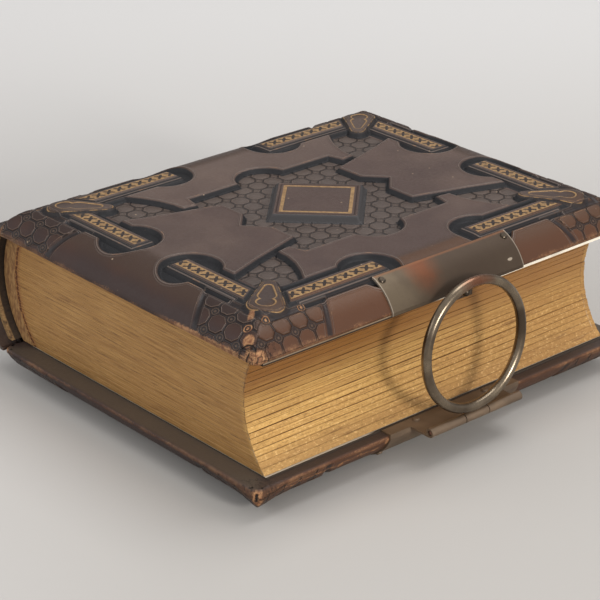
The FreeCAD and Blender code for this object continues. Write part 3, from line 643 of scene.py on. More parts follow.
def tool_panel(f, m):
    """The sunken star's diaper: straight rows of cells with a ringed dot between each four."""
    half = DIAPER_PITCH / 2
    from_y = half - f.math("PINGPONG", m.y, half)
    cell, dot = tooled_cells(f, f.math("PINGPONG", m.x, half), from_y, half, 0.66)
    swollen = cell + 0.25 * (m.patch - 0.5)
    in_panel = f.ramp(m.panel, -0.7, -1.1) * f.ramp(m.channel, 0.9, 1.4) * f.ramp(m.medallion, 0.7, 1.1)
    m.in_panel = in_panel * f.ramp(m.tablet, 13.9, 14.3)
    m.panel_groove = f.line(swollen, 2.78, 0.20, 0.12) * m.in_panel
    m.panel_line = f.line(swollen, 2.40, 0.12, 0.10) * m.in_panel
    m.panel_swell = f.ramp(cell, 2.7, 1.2) * m.in_panel
    m.panel_dot = f.most(f.ramp(dot, 0.34, 0.2), f.line(dot, 0.78, 0.10, 0.10)) * m.in_panel


def tool_corners(f, m):
    """The corners' cells, which follow the bevel, with a ringed dot between each four, and their trough."""
    half = NET_PITCH / 2
    from_x = abs(f.math("FLOORED_MODULO", m.net_along + half, NET_PITCH) - half)
    from_y = abs(f.math("FLOORED_MODULO", m.net_up + half, NET_PITCH) - half)
    cell, dot = tooled_cells(f, from_x, from_y, half, 0.70)
    m.in_corner = f.ramp(m.corner, -0.9, -1.4) * f.ramp(m.medallion, 0.9, 1.5)
    m.net_groove = f.ramp(cell, 2.60, 2.80) * m.in_corner
    m.net_line = f.line(cell, 2.42, 0.10, 0.10) * m.in_corner
    m.net_dot = f.most(f.line(dot, 1.0, 0.15, 0.10) * m.in_corner, f.ramp(dot, 0.5, 0.3) * m.in_corner)
    m.trough = f.line(m.corner, 0.0, 0.95, 0.4) * f.ramp(m.medallion, 0.2, 0.6)
    m.trough_rim = f.line(abs(m.corner), 1.65, 0.14, 0.14)


def gild_strips(f, m):
    """The strips' gilt lattice: a cross with a dot at its middle, left dark, in each step."""
    step = abs(f.math("FLOORED_MODULO", m.along, LATTICE_PITCH) - LATTICE_PITCH / 2)
    arm = f.most(step, abs(m.across))
    waver = 0.25 * (f.noise(m.place, 0.9, 2.0) - 0.5)
    stroke = f.ramp(abs(step - abs(m.across)) + waver, 0.66, 0.48) * f.ramp(arm + waver, 1.58, 1.40)
    blot = f.ramp(f.length(step, m.across), 0.85, 0.65)
    m.cross_mark = f.most(stroke, blot)
    on_strip = f.ramp(abs(m.across), 2.08, 1.96) * f.ramp(m.strip, -1.55, -1.75)
    m.on_strip = on_strip * f.ramp(m.medallion, 0.9, 1.3)
    strip_line = f.line(abs(m.across), 2.75, 0.12, 0.12) * f.ramp(m.strip, -0.6, -0.9)
    m.strip_line = strip_line * f.ramp(m.medallion, 0.6, 1.0)


def gild_lines(f, m):
    """The gilt lines of the tablet and the medallions, and all the gilding together, rubbed in places."""
    tablet_line = f.line(m.tablet, TABLET_GILT_LINE, 0.55, 0.1) * f.ramp(m.fine + 0.2 * m.patch, 0.88, 0.76)
    rubbed = f.ramp(f.noise(m.place, 0.35, 4.0) + 0.25 * m.fine, 0.68, 0.56)
    faint_line = f.line(m.medallion, -1.15, 0.08, 0.12) * 0.4
    m.outer_line = f.most(f.line(m.medallion, -0.45, 0.14, 0.12), faint_line)
    m.inner_line = f.line(m.bell, 0.0, 0.24, 0.12)
    lines = f.most(m.outer_line * rubbed, m.inner_line * f.ramp(m.fine, 0.75, 0.6))
    strips = m.on_strip * (1.0 - m.cross_mark)
    m.gilt = f.most(strips * f.ramp(m.fine, 0.74, 0.64), f.most(tablet_line, lines))


def blacken(f, m):
    """The blackened channels, walls and edges, the tablet's sloping frame, and lines beside the ground."""
    wall = f.ramp(m.ground, 0.1, -0.2) * f.ramp(m.ground, -1.4, -0.9) * f.ramp(m.tablet, 14.2, 14.6)
    trench = f.ramp(m.channel, 0.1, -0.3)
    strip_edge = f.ramp(abs(m.strip + 0.55), 0.85, 0.55) * f.ramp(m.medallion, 0.2, 0.6)
    boss_edge = f.ramp(abs(m.medallion - 0.3), 0.9, 0.5) * f.ramp(m.bell, 0.6, 1.2)
    m.black = f.most(f.most(trench, wall), f.most(strip_edge, boss_edge * 0.85))
    m.frame_slope = f.ramp(m.tablet, 12.3, 12.7) * f.ramp(m.tablet, 14.6, 14.3)
    m.tablet_lines = f.most(f.line(m.tablet, 12.25, 0.12, 0.1), f.line(m.tablet, 14.6, 0.14, 0.12))
    m.tablet_grooves = f.most(
        f.line(m.tablet, TABLET_FINE_LINE, 0.08, 0.08), f.line(m.tablet, TABLET_RING_LINE, 0.16, 0.14)
    )
    outside = f.ramp(m.medallion, 0.2, 0.5)
    m.rim = f.line(m.ground, 0.5, 0.17, 0.14) * outside
    m.hairline = f.line(m.ground, 1.05, 0.10, 0.10) * outside * f.ramp(m.ground, 0.3, 0.5)


def from_mark(f, m, travel, centre, from_edge):
    """Distance along the leather from a mark on a bevel, at a centre along the edge and so far in from it."""
    return f.length(travel - centre, m.above - float(up_bevel(from_edge)))


def stamp_rosettes(f, m):
    """A rosette on the tail bevel by the clasp corner, a bald spot beside it, and two on the fore bevel."""
    m.from_rosette = from_mark(f, m, m.x, ROSETTE[0], HALF_LENGTH - ROSETTE[1])
    m.rosette = f.most(f.line(m.from_rosette, 1.15, 0.20, 0.14), f.ramp(m.from_rosette, 0.6, 0.35))
    m.from_bald = from_mark(f, m, m.x, BALD_SPOT[0], HALF_LENGTH - BALD_SPOT[1])
    m.bald = f.ramp(m.from_bald + 0.4 * m.ragged, 2.2, 1.6)
    m.beside_rosette = f.ramp(m.from_rosette, 1.5, 2.1) * f.ramp(m.from_bald, 2.4, 3.0)
    nearest = 9.0
    for centre in SMALL_ROSETTES_Y:
        nearest = f.least(from_mark(f, m, m.y, centre, HALF_WIDTH - SMALL_ROSETTES_X), nearest)
    small = f.most(f.line(nearest, 1.05, 0.16, 0.12), f.ramp(nearest, 0.5, 0.3))
    m.small_rosettes = small * m.front * (1.0 - m.on_end_bevel)


def worn_corners(f, m):
    """Tan wear of all corners, of the end's edge by the clasp corner, and of that corner's rib and knob."""
    bare = f.ramp(m.any_corner + 1.2 * m.ragged, 2.6, 1.4) * (1.0 - 0.6 * m.turned_in)
    edge = f.ramp(m.above + 0.8 * m.ragged, 0.8, 0.2) * f.ramp(m.clasp_corner, 44.0, 30.0)
    edge = edge * (1.0 - m.turned_in) * m.on_end_bevel * (0.35 + 0.65 * m.front)
    off_mitre = 0.707 * (m.past_mitre - 3.1)
    up_mitre = 0.707 * (m.from_side + m.from_end)
    rib = f.ramp(abs(up_mitre - 14.2) + 0.5 * m.ragged, 2.2, 1.4)
    rib = rib * f.ramp(abs(off_mitre) + 0.3 * m.ragged, 0.9, 0.5)
    spots = f.most(f.most(rib * 0.8, m.rosette), m.bald) * m.by_clasp_corner
    knob = f.ramp(m.clasp_corner + 0.9 * m.ragged, 5.4, 4.2) * f.ramp(m.above + 0.5 * m.ragged, 3.4, 2.4)
    return f.most(f.most(bare, edge * 0.8), f.most(spots, knob * m.front * 0.9))


def worn_back_rim(f, m):
    """A wandering rubbed line with two spots along the back cover's fore rim, from the tail to the clasp."""
    wander = f.noise(m.place, 0.35, 3.0)
    rubbed = f.line(m.z + 3.0 * (wander - 0.5), 7.1, 0.28, 0.24) * f.ramp(abs(m.y + 47.0), 19.5, 17.0)
    rubbed = rubbed * f.ramp(m.creases + 0.2 * m.patch, 0.52, 0.60)
    for centre, height in BACK_RIM_SPOTS:
        rubbed = f.most(rubbed, f.ramp(f.length(m.y - centre, m.z - height) + 0.2 * m.ragged, 1.15, 0.75))
    return rubbed * f.ramp(m.x, 57.0, 58.5) * (1.0 - m.front)


def wear(f, m):
    """All wear: a thin rubbed line at the edges, more near corners, and rubbed rims of the relief."""
    worn_width = 0.10 + 0.55 * f.ramp(m.local, 0.47, 0.60) * (0.25 + 0.75 * f.ramp(m.any_corner, 34.0, 16.0))
    edge_wear = f.ramp(m.border + 0.5 * m.ragged, worn_width, -0.35) * (1.0 - 0.9 * m.turned_in) * 0.5
    corner_wear = f.most(worn_corners(f, m), worn_back_rim(f, m))
    rim_wear = f.most(m.rim, m.trough_rim) * f.ramp(f.noise(m.place, 0.16, 3.0), 0.57, 0.67)
    m.wear = f.most(edge_wear, f.most(corner_wear, rim_wear * 0.45))


def crack(f, m):
    """Cracks by the clasp corner: fine ones on the knob, an arc and a split beside it, a torn one below."""
    wild = f.noise(f.place((1000.0, 1000.0, 700.0)), 0.32, 3.0, 0.5, 1.2)
    fine = f.ramp(abs(wild - 0.5), 0.016, 0.005) * f.ramp(m.clasp_corner, 9.0, 6.0)
    fine = fine * (1.0 - m.bald) * f.ramp(m.above, 4.2, 3.6)
    arc = f.line(f.length(m.x - SPLIT_X, m.above - 0.6), 3.2, 0.20, 0.18) * m.by_clasp_corner
    split = f.line(m.x - SPLIT_X, 0.0, 0.22, 0.18) * f.ramp(m.above, 2.2, 1.6) * m.by_clasp_corner
    torn = f.line(m.past_mitre + 0.5 * m.ragged, 0.0, 0.45, 0.25) * f.ramp(abs(m.z - 7.6), 1.5, 1.0)
    torn = torn * f.ramp(m.clasp_corner, 3.0, 2.2)
    m.cracks = f.most(f.most(fine * 0.7, f.most(arc, split)), torn)


def calf_brown(f, m):
    """The colour before any tooling: brown calf, redder on the fore bevel and near black on the end bevels,
    partly painted shade, with a painted sheen towards the front's spine.
    """
    on_bevel = f.ramp(m.above, 19.0, 14.5) * (1.0 - m.turned_in)
    low_down = f.ramp(m.above, 9.0, 3.0) * (1.0 - m.turned_in)
    on_fore = f.ramp(m.x - 46.0, 0.0, 2.0) * f.ramp(m.past_mitre, 2.0, -1.0)
    by_clasp = f.ramp(m.y, -54.0, -46.0) * f.ramp(m.y, -18.0, -26.0)
    scratch = f.ramp(f.noise(f.place((500.0, 4200.0, 500.0), (0.0, 0.0, 0.9)), 0.5, 4.0, 0.7), 0.72, 0.8)
    broad = f.noise(m.place, 0.028, 3.0)
    return f.layered(
        f.mix(f.ramp(broad, 0.35, 0.68), (0.059, 0.036, 0.030), (0.090, 0.058, 0.046)),
        stains=(f.ramp(m.patch, 0.45, 0.75) * 0.4, (0.045, 0.028, 0.025)),
        # painted sheen: the front cover is drawn paler towards the spine, standing in for the leather's sheen
        # there
        faded_by_spine=(f.ramp(m.x, -15.0, -50.0) * m.front * 0.45, (0.125, 0.088, 0.070)),
        dark_tail=(f.ramp(m.y, -30.0, -60.0) * 0.3, (0.040, 0.026, 0.022)),
        bevels=(on_bevel * 0.8, (0.062, 0.034, 0.021)),
        fore_bevel=(on_bevel * on_fore * 0.9, (0.066, 0.030, 0.0145)),
        handled_by_clasp=(on_bevel * on_fore * by_clasp * 0.5, (0.105, 0.045, 0.021)),
        # partly painted shade: the end and spine-side bevels are drawn near black, darker than the fore
        # bevel, partly their own dye and partly for the lesser light on them
        end_bevels=(on_bevel * (1.0 - on_fore) * 0.65, (0.032, 0.0175, 0.0125)),
        end_corners=(on_bevel * (1.0 - on_fore) * m.in_corner * 0.65, (0.018, 0.0098, 0.0092)),
        red_rims=(low_down * f.ramp(m.local + 0.12 * on_fore, 0.40, 0.62) * 0.8, (0.070, 0.027, 0.012)),
        end_rims=(low_down * (1.0 - on_fore) * 0.75, (0.022, 0.0095, 0.0085)),
        scratches=(scratch * 0.3, (0.13, 0.08, 0.055)),
    )


def leather_colour(f, m):
    """The dye with its tooling, black, gilding, wear and painted highlights laid over it, and the turned-in
    leather inside.
    """
    tan = f.mix(f.ramp(m.fine, 0.3, 0.7), (0.17, 0.066, 0.030), (0.42, 0.225, 0.105))
    gold = f.mix(f.ramp(m.fine, 0.3, 0.7), (0.225, 0.128, 0.054), (0.37, 0.23, 0.102))
    inside = f.mix(f.ramp(m.past_mitre, -3.0, 3.0), (0.040, 0.028, 0.024), (0.075, 0.060, 0.046))
    rubbed_lines = f.most(m.panel_dot * 0.3, m.net_line * m.beside_rosette * 0.5)
    # painted highlights: pale greyish lines along the ground's rims, the strips' edges, the tablet's frame
    # and the troughs' rims, standing in for the light those edges catch
    pale_lines = f.most(m.strip_line * 0.25, f.most(m.tablet_lines, m.trough_rim) * 0.35)
    specks = f.ramp(f.cells(m.place, 0.16), 0.055, 0.035)
    return f.layered(
        calf_brown(f, m),
        grey_panel=(m.in_panel * 0.6, (0.076, 0.061, 0.052)),
        grooves=(f.most(m.panel_groove * 0.66, m.net_groove * 0.8), (0.012, 0.009, 0.009)),
        rubbed_cells=(f.most(m.panel_line * 0.35, rubbed_lines), (0.18, 0.125, 0.095)),
        rubbed_dots=(m.net_dot * m.beside_rosette * 0.22, (0.24, 0.15, 0.095)),
        frame_slope=(m.frame_slope * 0.85, (0.030, 0.031, 0.033)),
        medallions=(f.ramp(m.medallion, 0.0, -0.6) * 0.35, (0.030, 0.021, 0.018)),
        black=(m.black * 0.95, (0.0065, 0.0075, 0.0095)),
        tablet_grooves=(m.tablet_grooves * 0.7, (0.012, 0.008, 0.007)),
        troughs=(m.trough * 0.85, (0.010, 0.008, 0.009)),
        pale_lines=(f.most(f.most(m.rim * 0.7, m.hairline * 0.25), pale_lines), (0.150, 0.115, 0.097)),
        dark_crosses=(m.on_strip * m.cross_mark * 0.85, (0.016, 0.010, 0.008)),
        gilding=(m.gilt * 0.94, gold),
        wear=(m.wear * 0.9, tan),
        small_rosettes=(m.small_rosettes * 0.75, tan),
        cracks=(m.cracks, (0.010, 0.006, 0.005)),
        specks=(specks * 0.6, (0.45, 0.33, 0.22)),
        turned_in=(m.turned_in * 0.85, f.mix(m.front, inside, (0.026, 0.0155, 0.0105))),
    )


def leather_relief(f, m):
    """Bumps finer than the mesh: grain, creases, raised lines and swellings, and tooled grooves."""
    grain = f.cells(m.place, 1.9)
    raised = m.rim * 0.25 + m.hairline * 0.12 + m.net_line * 0.25 + m.panel_line * 0.15
    raised = raised + f.most(m.net_dot * 0.25, m.small_rosettes * 0.35)
    raised = raised + m.panel_swell * 0.3 + m.panel_dot * 0.25 + f.most(m.strip_line, m.tablet_lines) * 0.2
    raised = raised + m.trough_rim * 0.2 + m.outer_line * 0.2
    sunk = m.panel_groove * 0.45 + m.net_groove * 0.4 + 0.25 * m.on_strip * m.cross_mark + m.cracks * 0.7
    normal = f.bump(grain * (1.0 - 0.6 * m.gilt), 0.04, strength=0.5)
    normal = f.bump(m.creases, 0.10, normal, 0.5)
    return f.bump(raised - sunk + m.inner_line * 0.2, 0.9, normal)


def embossed_leather():
    """Dark brown calf with blackened channels, gilt lattice, tooled grounds and tan wear at its edges."""
    f = Finish("embossed leather")
    m = read_cover(f)
    for work in (tool_panel, tool_corners, gild_strips, gild_lines, blacken, stamp_rosettes, wear, crack):
        work(f, m)
    colour = leather_colour(f, m)
    normal = leather_relief(f, m)
    roughness = f.ramp(m.fine + 0.6 * m.patch, 0.3, 1.3) * 0.18 + 0.37 + 0.28 * m.wear + 0.14 * m.black
    return f.finish(colour, roughness, normal, m.gilt * 0.3, specular=0.27)


# ---------------------------------------------------------------- the other finishes

def gilt_edges():
    """Rubbed gilding on card leaves: warm gold, browner higher up, streaked, with a dark line at each gap,
    and painted shade: darker high on the fore edge, towards the head and on the tail and head ends.

    The mesh carries seam, 1 at a leaf's rim and below 0 on its faces, a tone of each leaf's own, ends, 1 at
    tail and head, and joint, the distance from the guards.
    """
    f = Finish("gilt leaf edges")
    place = f.place()
    _, y, z = f.parts(place)
    seam, tone, ends = f.parts(f.attribute("leaf"))
    streak = f.streaks((45.0, 45.0, 3200.0), 5.0, 0.65)
    blotch = f.streaks((70.0, 70.0, 900.0), 4.0, 0.6)
    fleck = f.streaks((700.0, 700.0, 1700.0), 4.0, 0.7)
    grains = f.streaks((900.0, 900.0, 1500.0), 4.0, 0.75)
    dashes = f.streaks((110.0, 110.0, 2700.0), 4.0, 0.6)
    broken = f.ramp(f.streaks((60.0, 60.0, 420.0)), 0.38, 0.60)
    soft = f.noise(place, 0.05, 3.0)
    # painted shade: higher up the fore edge the gilt is drawn browner and less metallic, partly its own
    # colour and partly the shade under the front cover
    upper = f.ramp(z + 8.0 * (soft - 0.5), 24.0, 36.0)
    low = f.ramp(z + 6.0 * (soft - 0.5), 19.0, 11.0) * (1.0 - ends)
    grainy = (1.0 - 0.85 * ends) * f.ramp(z, 34.0, 20.0)
    seam_shown = (1.0 - 0.9 * ends) * (0.35 + 0.65 * broken) * (0.25 + 0.75 * f.ramp(z, 11.0, 20.0))
    seam_shown = seam_shown * (1.0 - 0.5 * f.ramp(y, -10.0, 50.0))
    corner_line = f.line(ends, 0.12, 0.07, 0.05) * f.ramp(broken, 0.2, 0.6)
    from_guards = 2.0 * (f.streaks((300.0, 300.0, 420.0), 3.0) - 0.5) + f.attribute("joint", "Fac")
    stitch_gaps = f.ramp(f.math("FLOORED_MODULO", z + 1.5 * fleck, STITCH_PITCH), 0.15, 0.35)
    # partly painted shade: the tail and head ends get a darker gold than the fore edge, partly their own
    # streaked gilding and partly for the lesser light on them
    end_gold = f.mix(f.ramp(streak, 0.35, 0.65), (0.245, 0.118, 0.037), (0.40, 0.215, 0.072))
    corner_colour = f.mix(f.ramp(z, 24.0, 15.0), (0.10, 0.050, 0.022), (0.62, 0.50, 0.34))
    face_paper = f.mix(f.ramp(soft, 0.4, 0.7), (0.60, 0.52, 0.40), (0.50, 0.41, 0.29))
    colour = f.layered(
        f.mix(f.ramp(streak, 0.3, 0.7), (0.42, 0.232, 0.062), (0.78, 0.48, 0.160)),
        clouds=(f.ramp(soft, 0.4, 0.7) * 0.5, (0.58, 0.335, 0.105)),
        leaf_tones=(tone * 0.35, (0.36, 0.175, 0.055)),
        brown_above=(upper * (1.0 - ends) * 0.92, (0.205, 0.080, 0.014)),
        dull_below=(low * 0.6, (0.37, 0.205, 0.075)),
        # painted shade: the fore edge's gilt is drawn darker towards the head, standing in for the reflection
        # that brightens it towards the tail
        dull_to_head=(f.ramp(y, -45.0, 45.0) * (1.0 - ends) * 0.55, (0.36, 0.18, 0.055)),
        tail_and_head=(ends * 0.75, end_gold),
        bright_grains=(f.ramp(grains, 0.54, 0.70) * grainy * 0.55, (0.98, 0.68, 0.30)),
        dark_grains=(f.ramp(grains, 0.46, 0.32) * grainy * 0.5, (0.17, 0.08, 0.028)),
        flecks=(f.ramp(fleck + 0.04 * low, 0.66, 0.76) * 0.75, (0.12, 0.05, 0.02)),
        blotches=(f.ramp(blotch, 0.60, 0.70) * 0.5, (0.16, 0.07, 0.025)),
        dark_dashes=(f.ramp(dashes, 0.58, 0.68) * (0.25 + 0.4 * ends), (0.13, 0.055, 0.018)),
        light_dashes=(f.ramp(dashes, 0.40, 0.32) * (0.15 + 0.4 * ends), (0.48, 0.29, 0.115)),
        seams=(f.ramp(seam, 0.2, 0.9) * seam_shown, (0.11, 0.045, 0.014)),
        corners=(corner_line * 0.6, corner_colour),
        faces=(f.ramp(seam, -0.2, -0.7), face_paper),
        glue_stain=(f.line(from_guards, 1.1, 1.5, 0.7) * ends * 0.4, (0.26, 0.092, 0.030)),
        stitches=(f.line(from_guards, 0.95, 0.48, 0.25) * stitch_gaps * ends * 0.85, (0.070, 0.012, 0.007)),
    )
    normal = f.bump(streak, 0.10, strength=0.6)
    normal = f.bump(fleck, 0.06, normal, 0.5)
    metallic = 0.5 * f.ramp(seam, 0.9, 0.2) * (1.0 - 0.6 * upper * (1.0 - ends))
    return f.finish(colour, 0.36 + 0.25 * soft, normal, metallic)


def guard_cloth():
    """Red-brown cloth of the leaves' joints, with gilt showing between its threads."""
    f = Finish("guard cloth")
    patch = f.noise(f.place(), 0.4, 4.0)
    weave = f.streaks((1800.0, 1800.0, 500.0), 3.0)
    colour = f.mix(f.ramp(weave, 0.35, 0.65), (0.18, 0.085, 0.029), (0.34, 0.190, 0.070))
    colour = f.mix(f.ramp(patch, 0.5, 0.75), colour, (0.16, 0.068, 0.025))
    return f.finish(colour, 0.7, f.bump(weave, 0.12), 0.1)


def liner_card():
    """Fibrous tan card of the hollow back, gilt with the leaves at its ends, with painted shade inside the
    hollow.
    """
    f = Finish("liner card")
    place = f.place()
    y = f.parts(place)[1]
    fibres = f.streaks((300.0, 300.0, 1500.0), 5.0, 0.7)
    patch = f.noise(place, 0.5, 4.0)
    colour = f.layered(
        f.mix(f.ramp(fibres, 0.3, 0.7), (0.16, 0.086, 0.034), (0.36, 0.225, 0.095)),
        stains=(f.ramp(patch, 0.55, 0.7), (0.06, 0.034, 0.020)),
        # painted shade: the card is drawn near black inside the hollow back, where it lies in shadow
        sooty_inside=(f.ramp(abs(y) + 0.6 * (patch - 0.5), 70.6, 70.0) * 0.92, (0.016, 0.009, 0.006)),
    )
    return f.finish(colour, 0.85, f.bump(fibres, 0.2))


def spine_calf():
    """Grained dark calf of the spine, rubbed paler in patches, with pairs of blind lines across it."""
    f = Finish("spine leather")
    place = f.place()
    y = f.parts(place)[1]
    creases = f.noise(place, 1.6, 5.0, 0.65)
    patch = f.noise(place, 0.09, 4.0)
    pairs = f.math("PINGPONG", abs(y) + 8.0, 19.0)
    lines = f.most(f.line(pairs, 1.0, 0.25, 0.2), f.line(pairs, 2.6, 0.12, 0.15))
    colour = f.layered(
        f.mix(f.ramp(patch, 0.35, 0.7), (0.018, 0.010, 0.008), (0.042, 0.024, 0.017)),
        rubbed=(f.ramp(creases + 0.3 * patch, 0.78, 0.9) * 0.6, (0.12, 0.065, 0.040)),
        blind_lines=(lines * 0.7, (0.008, 0.005, 0.004)),
    )
    normal = f.bump(f.cells(place, 1.7), 0.05, strength=0.6)
    normal = f.bump(creases, 0.12, normal, 0.6)
    return f.finish(colour, 0.5, f.bump(1.0 - lines, 0.5, normal))


def lining_paper(name, clean, soiled, fore, tail, below, clean_at, dark_at, clean_width):
    """Lining paper with stains, dirtier towards the tail, its rims dark past fore and past tail.

    The fore rim is dark only below a height, and from dark_at on along the cover. At clean_at it is clean for
    clean_width past fore.
    """
    f = Finish(name)
    place = f.place()
    x, y, z = f.parts(place)
    stain = f.noise(place, 0.06, 4.0)
    at_rim = f.ramp(x, fore - 2.0, fore - 1.0)
    fore_rim = f.ramp(x, fore - 0.05, fore + 0.05) * f.ramp(y, clean_at, dark_at)
    fore_rim = f.most(fore_rim, f.ramp(x, fore + clean_width - 0.05, fore + clean_width + 0.05))
    fore_rim = fore_rim * f.ramp(z, below + 0.08, below - 0.08)
    colour = f.layered(
        f.mix(f.ramp(stain, 0.52, 0.80) * 0.6, clean, soiled),
        inner_paper=(f.ramp(x, fore, fore - 0.2) * 0.6, (0.46, 0.40, 0.31)),
        soiled_rim=(at_rim * f.ramp(y, 0.0, -25.0) * 0.9, soiled),
        dark_rims=(f.most(f.ramp(y, -tail, -tail - 0.1), fore_rim) * 0.95, (0.022, 0.014, 0.010)),
    )
    return f.finish(colour, 0.8, f.bump(f.noise(place, 1.2, 4.0), 0.05), specular=0.2)


def board_card():
    """Grey-brown millboard."""
    f = Finish("board card")
    fibre = f.streaks((400.0, 400.0, 2500.0), 5.0, 0.7)
    colour = f.mix(f.ramp(fibre, 0.3, 0.7), (0.22, 0.15, 0.09), (0.38, 0.28, 0.18))
    return f.finish(colour, 0.9, f.bump(fibre, 0.15))


def old_brass(name, polish, dark, light, metal=0.85, blush=None):
    """Dark patinated brass, smooth from handling; blush is the middle of a reddish tarnished spot."""
    f = Finish(name)
    place = f.place()
    cloud = f.noise(place, 0.07, 3.0)
    speck = f.noise(place, 1.1, 5.0, 0.7)
    brushed = f.streaks((250.0, 3200.0, 250.0), 4.0, 0.7)
    colour = f.mix(f.ramp(cloud + 0.15 * (speck - 0.5), 0.30, 0.70), dark, light)
    colour = f.mix(f.ramp(speck, 0.60, 0.78) * 0.5, colour, dark)
    if blush is not None:
        far = f.node("ShaderNodeVectorMath", {0: place, 1: blush}, operation="DISTANCE").outputs["Value"]
        near = f.ramp(Value(f, far) + 9.0 * (cloud - 0.5) + 3.0 * (speck - 0.5), 10.0, 2.0)
        colour = f.mix(near * 0.8, colour, (0.17, 0.050, 0.020))
    colour = f.mix(f.ramp(brushed, 0.66, 0.78) * 0.35, colour, light)
    normal = f.bump(speck, 0.03, strength=0.5)
    normal = f.bump(brushed, 0.02, normal, 0.5)
    return f.finish(colour, polish + 0.10 * cloud + 0.08 * speck, normal, metal)


def plate_brass():
    """Patina of the upper plate: pale and greenish at its tail end, partly a painted highlight, with an
    orange blush, then brown, and painted highlights along its end edges.
    """
    low, high = (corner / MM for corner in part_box("clasp_upper_plate"))
    middle, half = (low.y + high.y) / 2, (high.y - low.y) / 2
    f = Finish("clasp plate brass")
    place = f.place()
    x, y, z = f.parts(place)
    cloud = f.noise(place, 0.09, 4.0)
    speck = f.noise(place, 1.1, 5.0, 0.7)
    blur = 12.0 * (cloud - 0.5)
    # partly painted highlight: the pale tail end is patina with the plate's highlight painted into it, fading
    # to brown
    greenish, brown = (0.118, 0.087, 0.055), (0.053, 0.034, 0.021)
    from_blush = f.length((y - low.y - 16.5) * 0.75, (z - 56.0) * 0.8) + 0.5 * blur + 2.0 * (speck - 0.5)
    from_chip = f.length((y - high.y + 4.4) * 0.7, (z - 50.6) * 1.9) + 0.8 * (speck - 0.5)
    inner_rim = f.ramp(x + 0.3 * (speck - 0.5), low.x + 1.0, low.x + 0.4)
    # painted highlights: end_rims are pale lines along the plate's end edges, standing in for the light those
    # edges catch
    end_rims = f.ramp(abs(y - middle), half - 0.45, half - 0.15)
    colour = f.layered(
        f.mix(f.ramp(y + blur, low.y + 4.0, low.y + 18.0), greenish, brown),
        clouds=(f.ramp(cloud, 0.45, 0.70) * 0.4, (0.072, 0.050, 0.031)),
        blush=(f.ramp(from_blush, 6.5, 0.5) * 0.65, (0.17, 0.048, 0.014)),
        inner_rim=(inner_rim * 0.5, (0.20, 0.082, 0.034)),
        end_rims=(end_rims * 0.55, (0.40, 0.34, 0.27)),
        chip=(f.ramp(from_chip, 0.8, 0.5) * 0.8, (0.42, 0.35, 0.27)),
        specks=(f.ramp(speck, 0.60, 0.78) * 0.4, (0.040, 0.029, 0.021)),
    )
    normal = f.bump(speck, 0.03, strength=0.5)
    return f.finish(colour, 0.42 + 0.10 * cloud + 0.08 * speck, normal, 0.6)


def pale_floor():
    """Matt grey paper, a little paler where it rises behind the album, and painted lighter on the left beside
    the album, where it lightens the album's shadow.
    """
    f = Finish("pale floor")
    x, y, _ = f.parts(f.place((1.0, 1.0, 1.0)))
    away = y * AWAY_Y - x * AWAY_X
    # painted light: the floor is drawn paler on the left near the album, lightening the album's shadow there
    left = f.ramp(x * AWAY_Y + y * AWAY_X, -0.02, -0.11) * f.ramp(away, 0.05, -0.01)
    grey = f.mix(left * 0.45, (0.395, 0.378, 0.357), (0.50, 0.485, 0.470))
    return f.finish(f.mix(f.ramp(away, 0.02, 0.46), grey, (0.575, 0.565, 0.555)), 0.9)


# ---------------------------------------------------------------- leather covers

def place_cover(name, node, body, finish, seed, fat_corner, lift, turned):
    """Puts one embossed cover in its place; the back one is turned over about the long middle line."""
    points, faces, attributes = cover_leather(seed, fat_corner)
    if turned:
        points[:, 1] *= -1.0
        faces = [face[::-1] for face in faces]
        points = points * np.array([1.0, -1.0, -1.0])
    points = points + np.array([0.0, 0.0, lift])
    piece = make_piece(name, points, faces, attributes)
    piece.data.materials.append(finish)
    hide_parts(node)
    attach(piece, body)


leather = embossed_leather()
place_cover(
    "front_cover_leather", "front_leather", "front_cover", leather,
    seed=3, fat_corner=0.0, lift=FRONT_INNER, turned=False,
)
place_cover(
    "back_cover_leather", "back_leather", "back_cover", leather,
    seed=8, fat_corner=2.2, lift=BACK_INNER, turned=True,
)


# ---------------------------------------------------------------- leaves

def fore_x(z):
    """Fore edge of the block at a height: the hollow arc."""
    return FORE_CENTRE - np.sqrt(ROUND_RADIUS**2 - (z - ROUND_Z) ** 2)


def guard_x(z):
    """Back of the leaves at a height: the same arc, in front of the guards."""
    return SPINE_CENTRE + GUARD_DEPTH - np.sqrt(ROUND_RADIUS**2 - (z - ROUND_Z) ** 2)


def leaf_outline(z, shift, end_steps=47, side_steps=71):
    """One leaf's outline in plan, counter-clockwise from the tail at the back, and 1 at its tail and head."""
    back_x, front_x = guard_x(z), fore_x(z) + shift
    tail = np.linspace(back_x, front_x, end_steps + 1)
    fore = np.linspace(-BLOCK_HALF_LENGTH, BLOCK_HALF_LENGTH, side_steps + 1)
    x = np.concatenate([tail[:-1], np.full(side_steps, front_x), tail[:0:-1], np.full(side_steps, back_x)])
    y = np.concatenate([
        np.full(end_steps, -BLOCK_HALF_LENGTH), fore[:-1], np.full(end_steps, BLOCK_HALF_LENGTH), fore[:0:-1],
    ])
    ends = np.concatenate([np.ones(end_steps), np.zeros(side_steps)] * 2)
    return x, y, ends


# rings of one half of a leaf, from the middle of its face: distance from the face, inset, value of seam
LEAF_RINGS = ((0.0, 0.9, -1.0), (0.0, 0.16, 1.0), (0.04, 0.05, 0.7), (0.14, 0.0, 0.0))


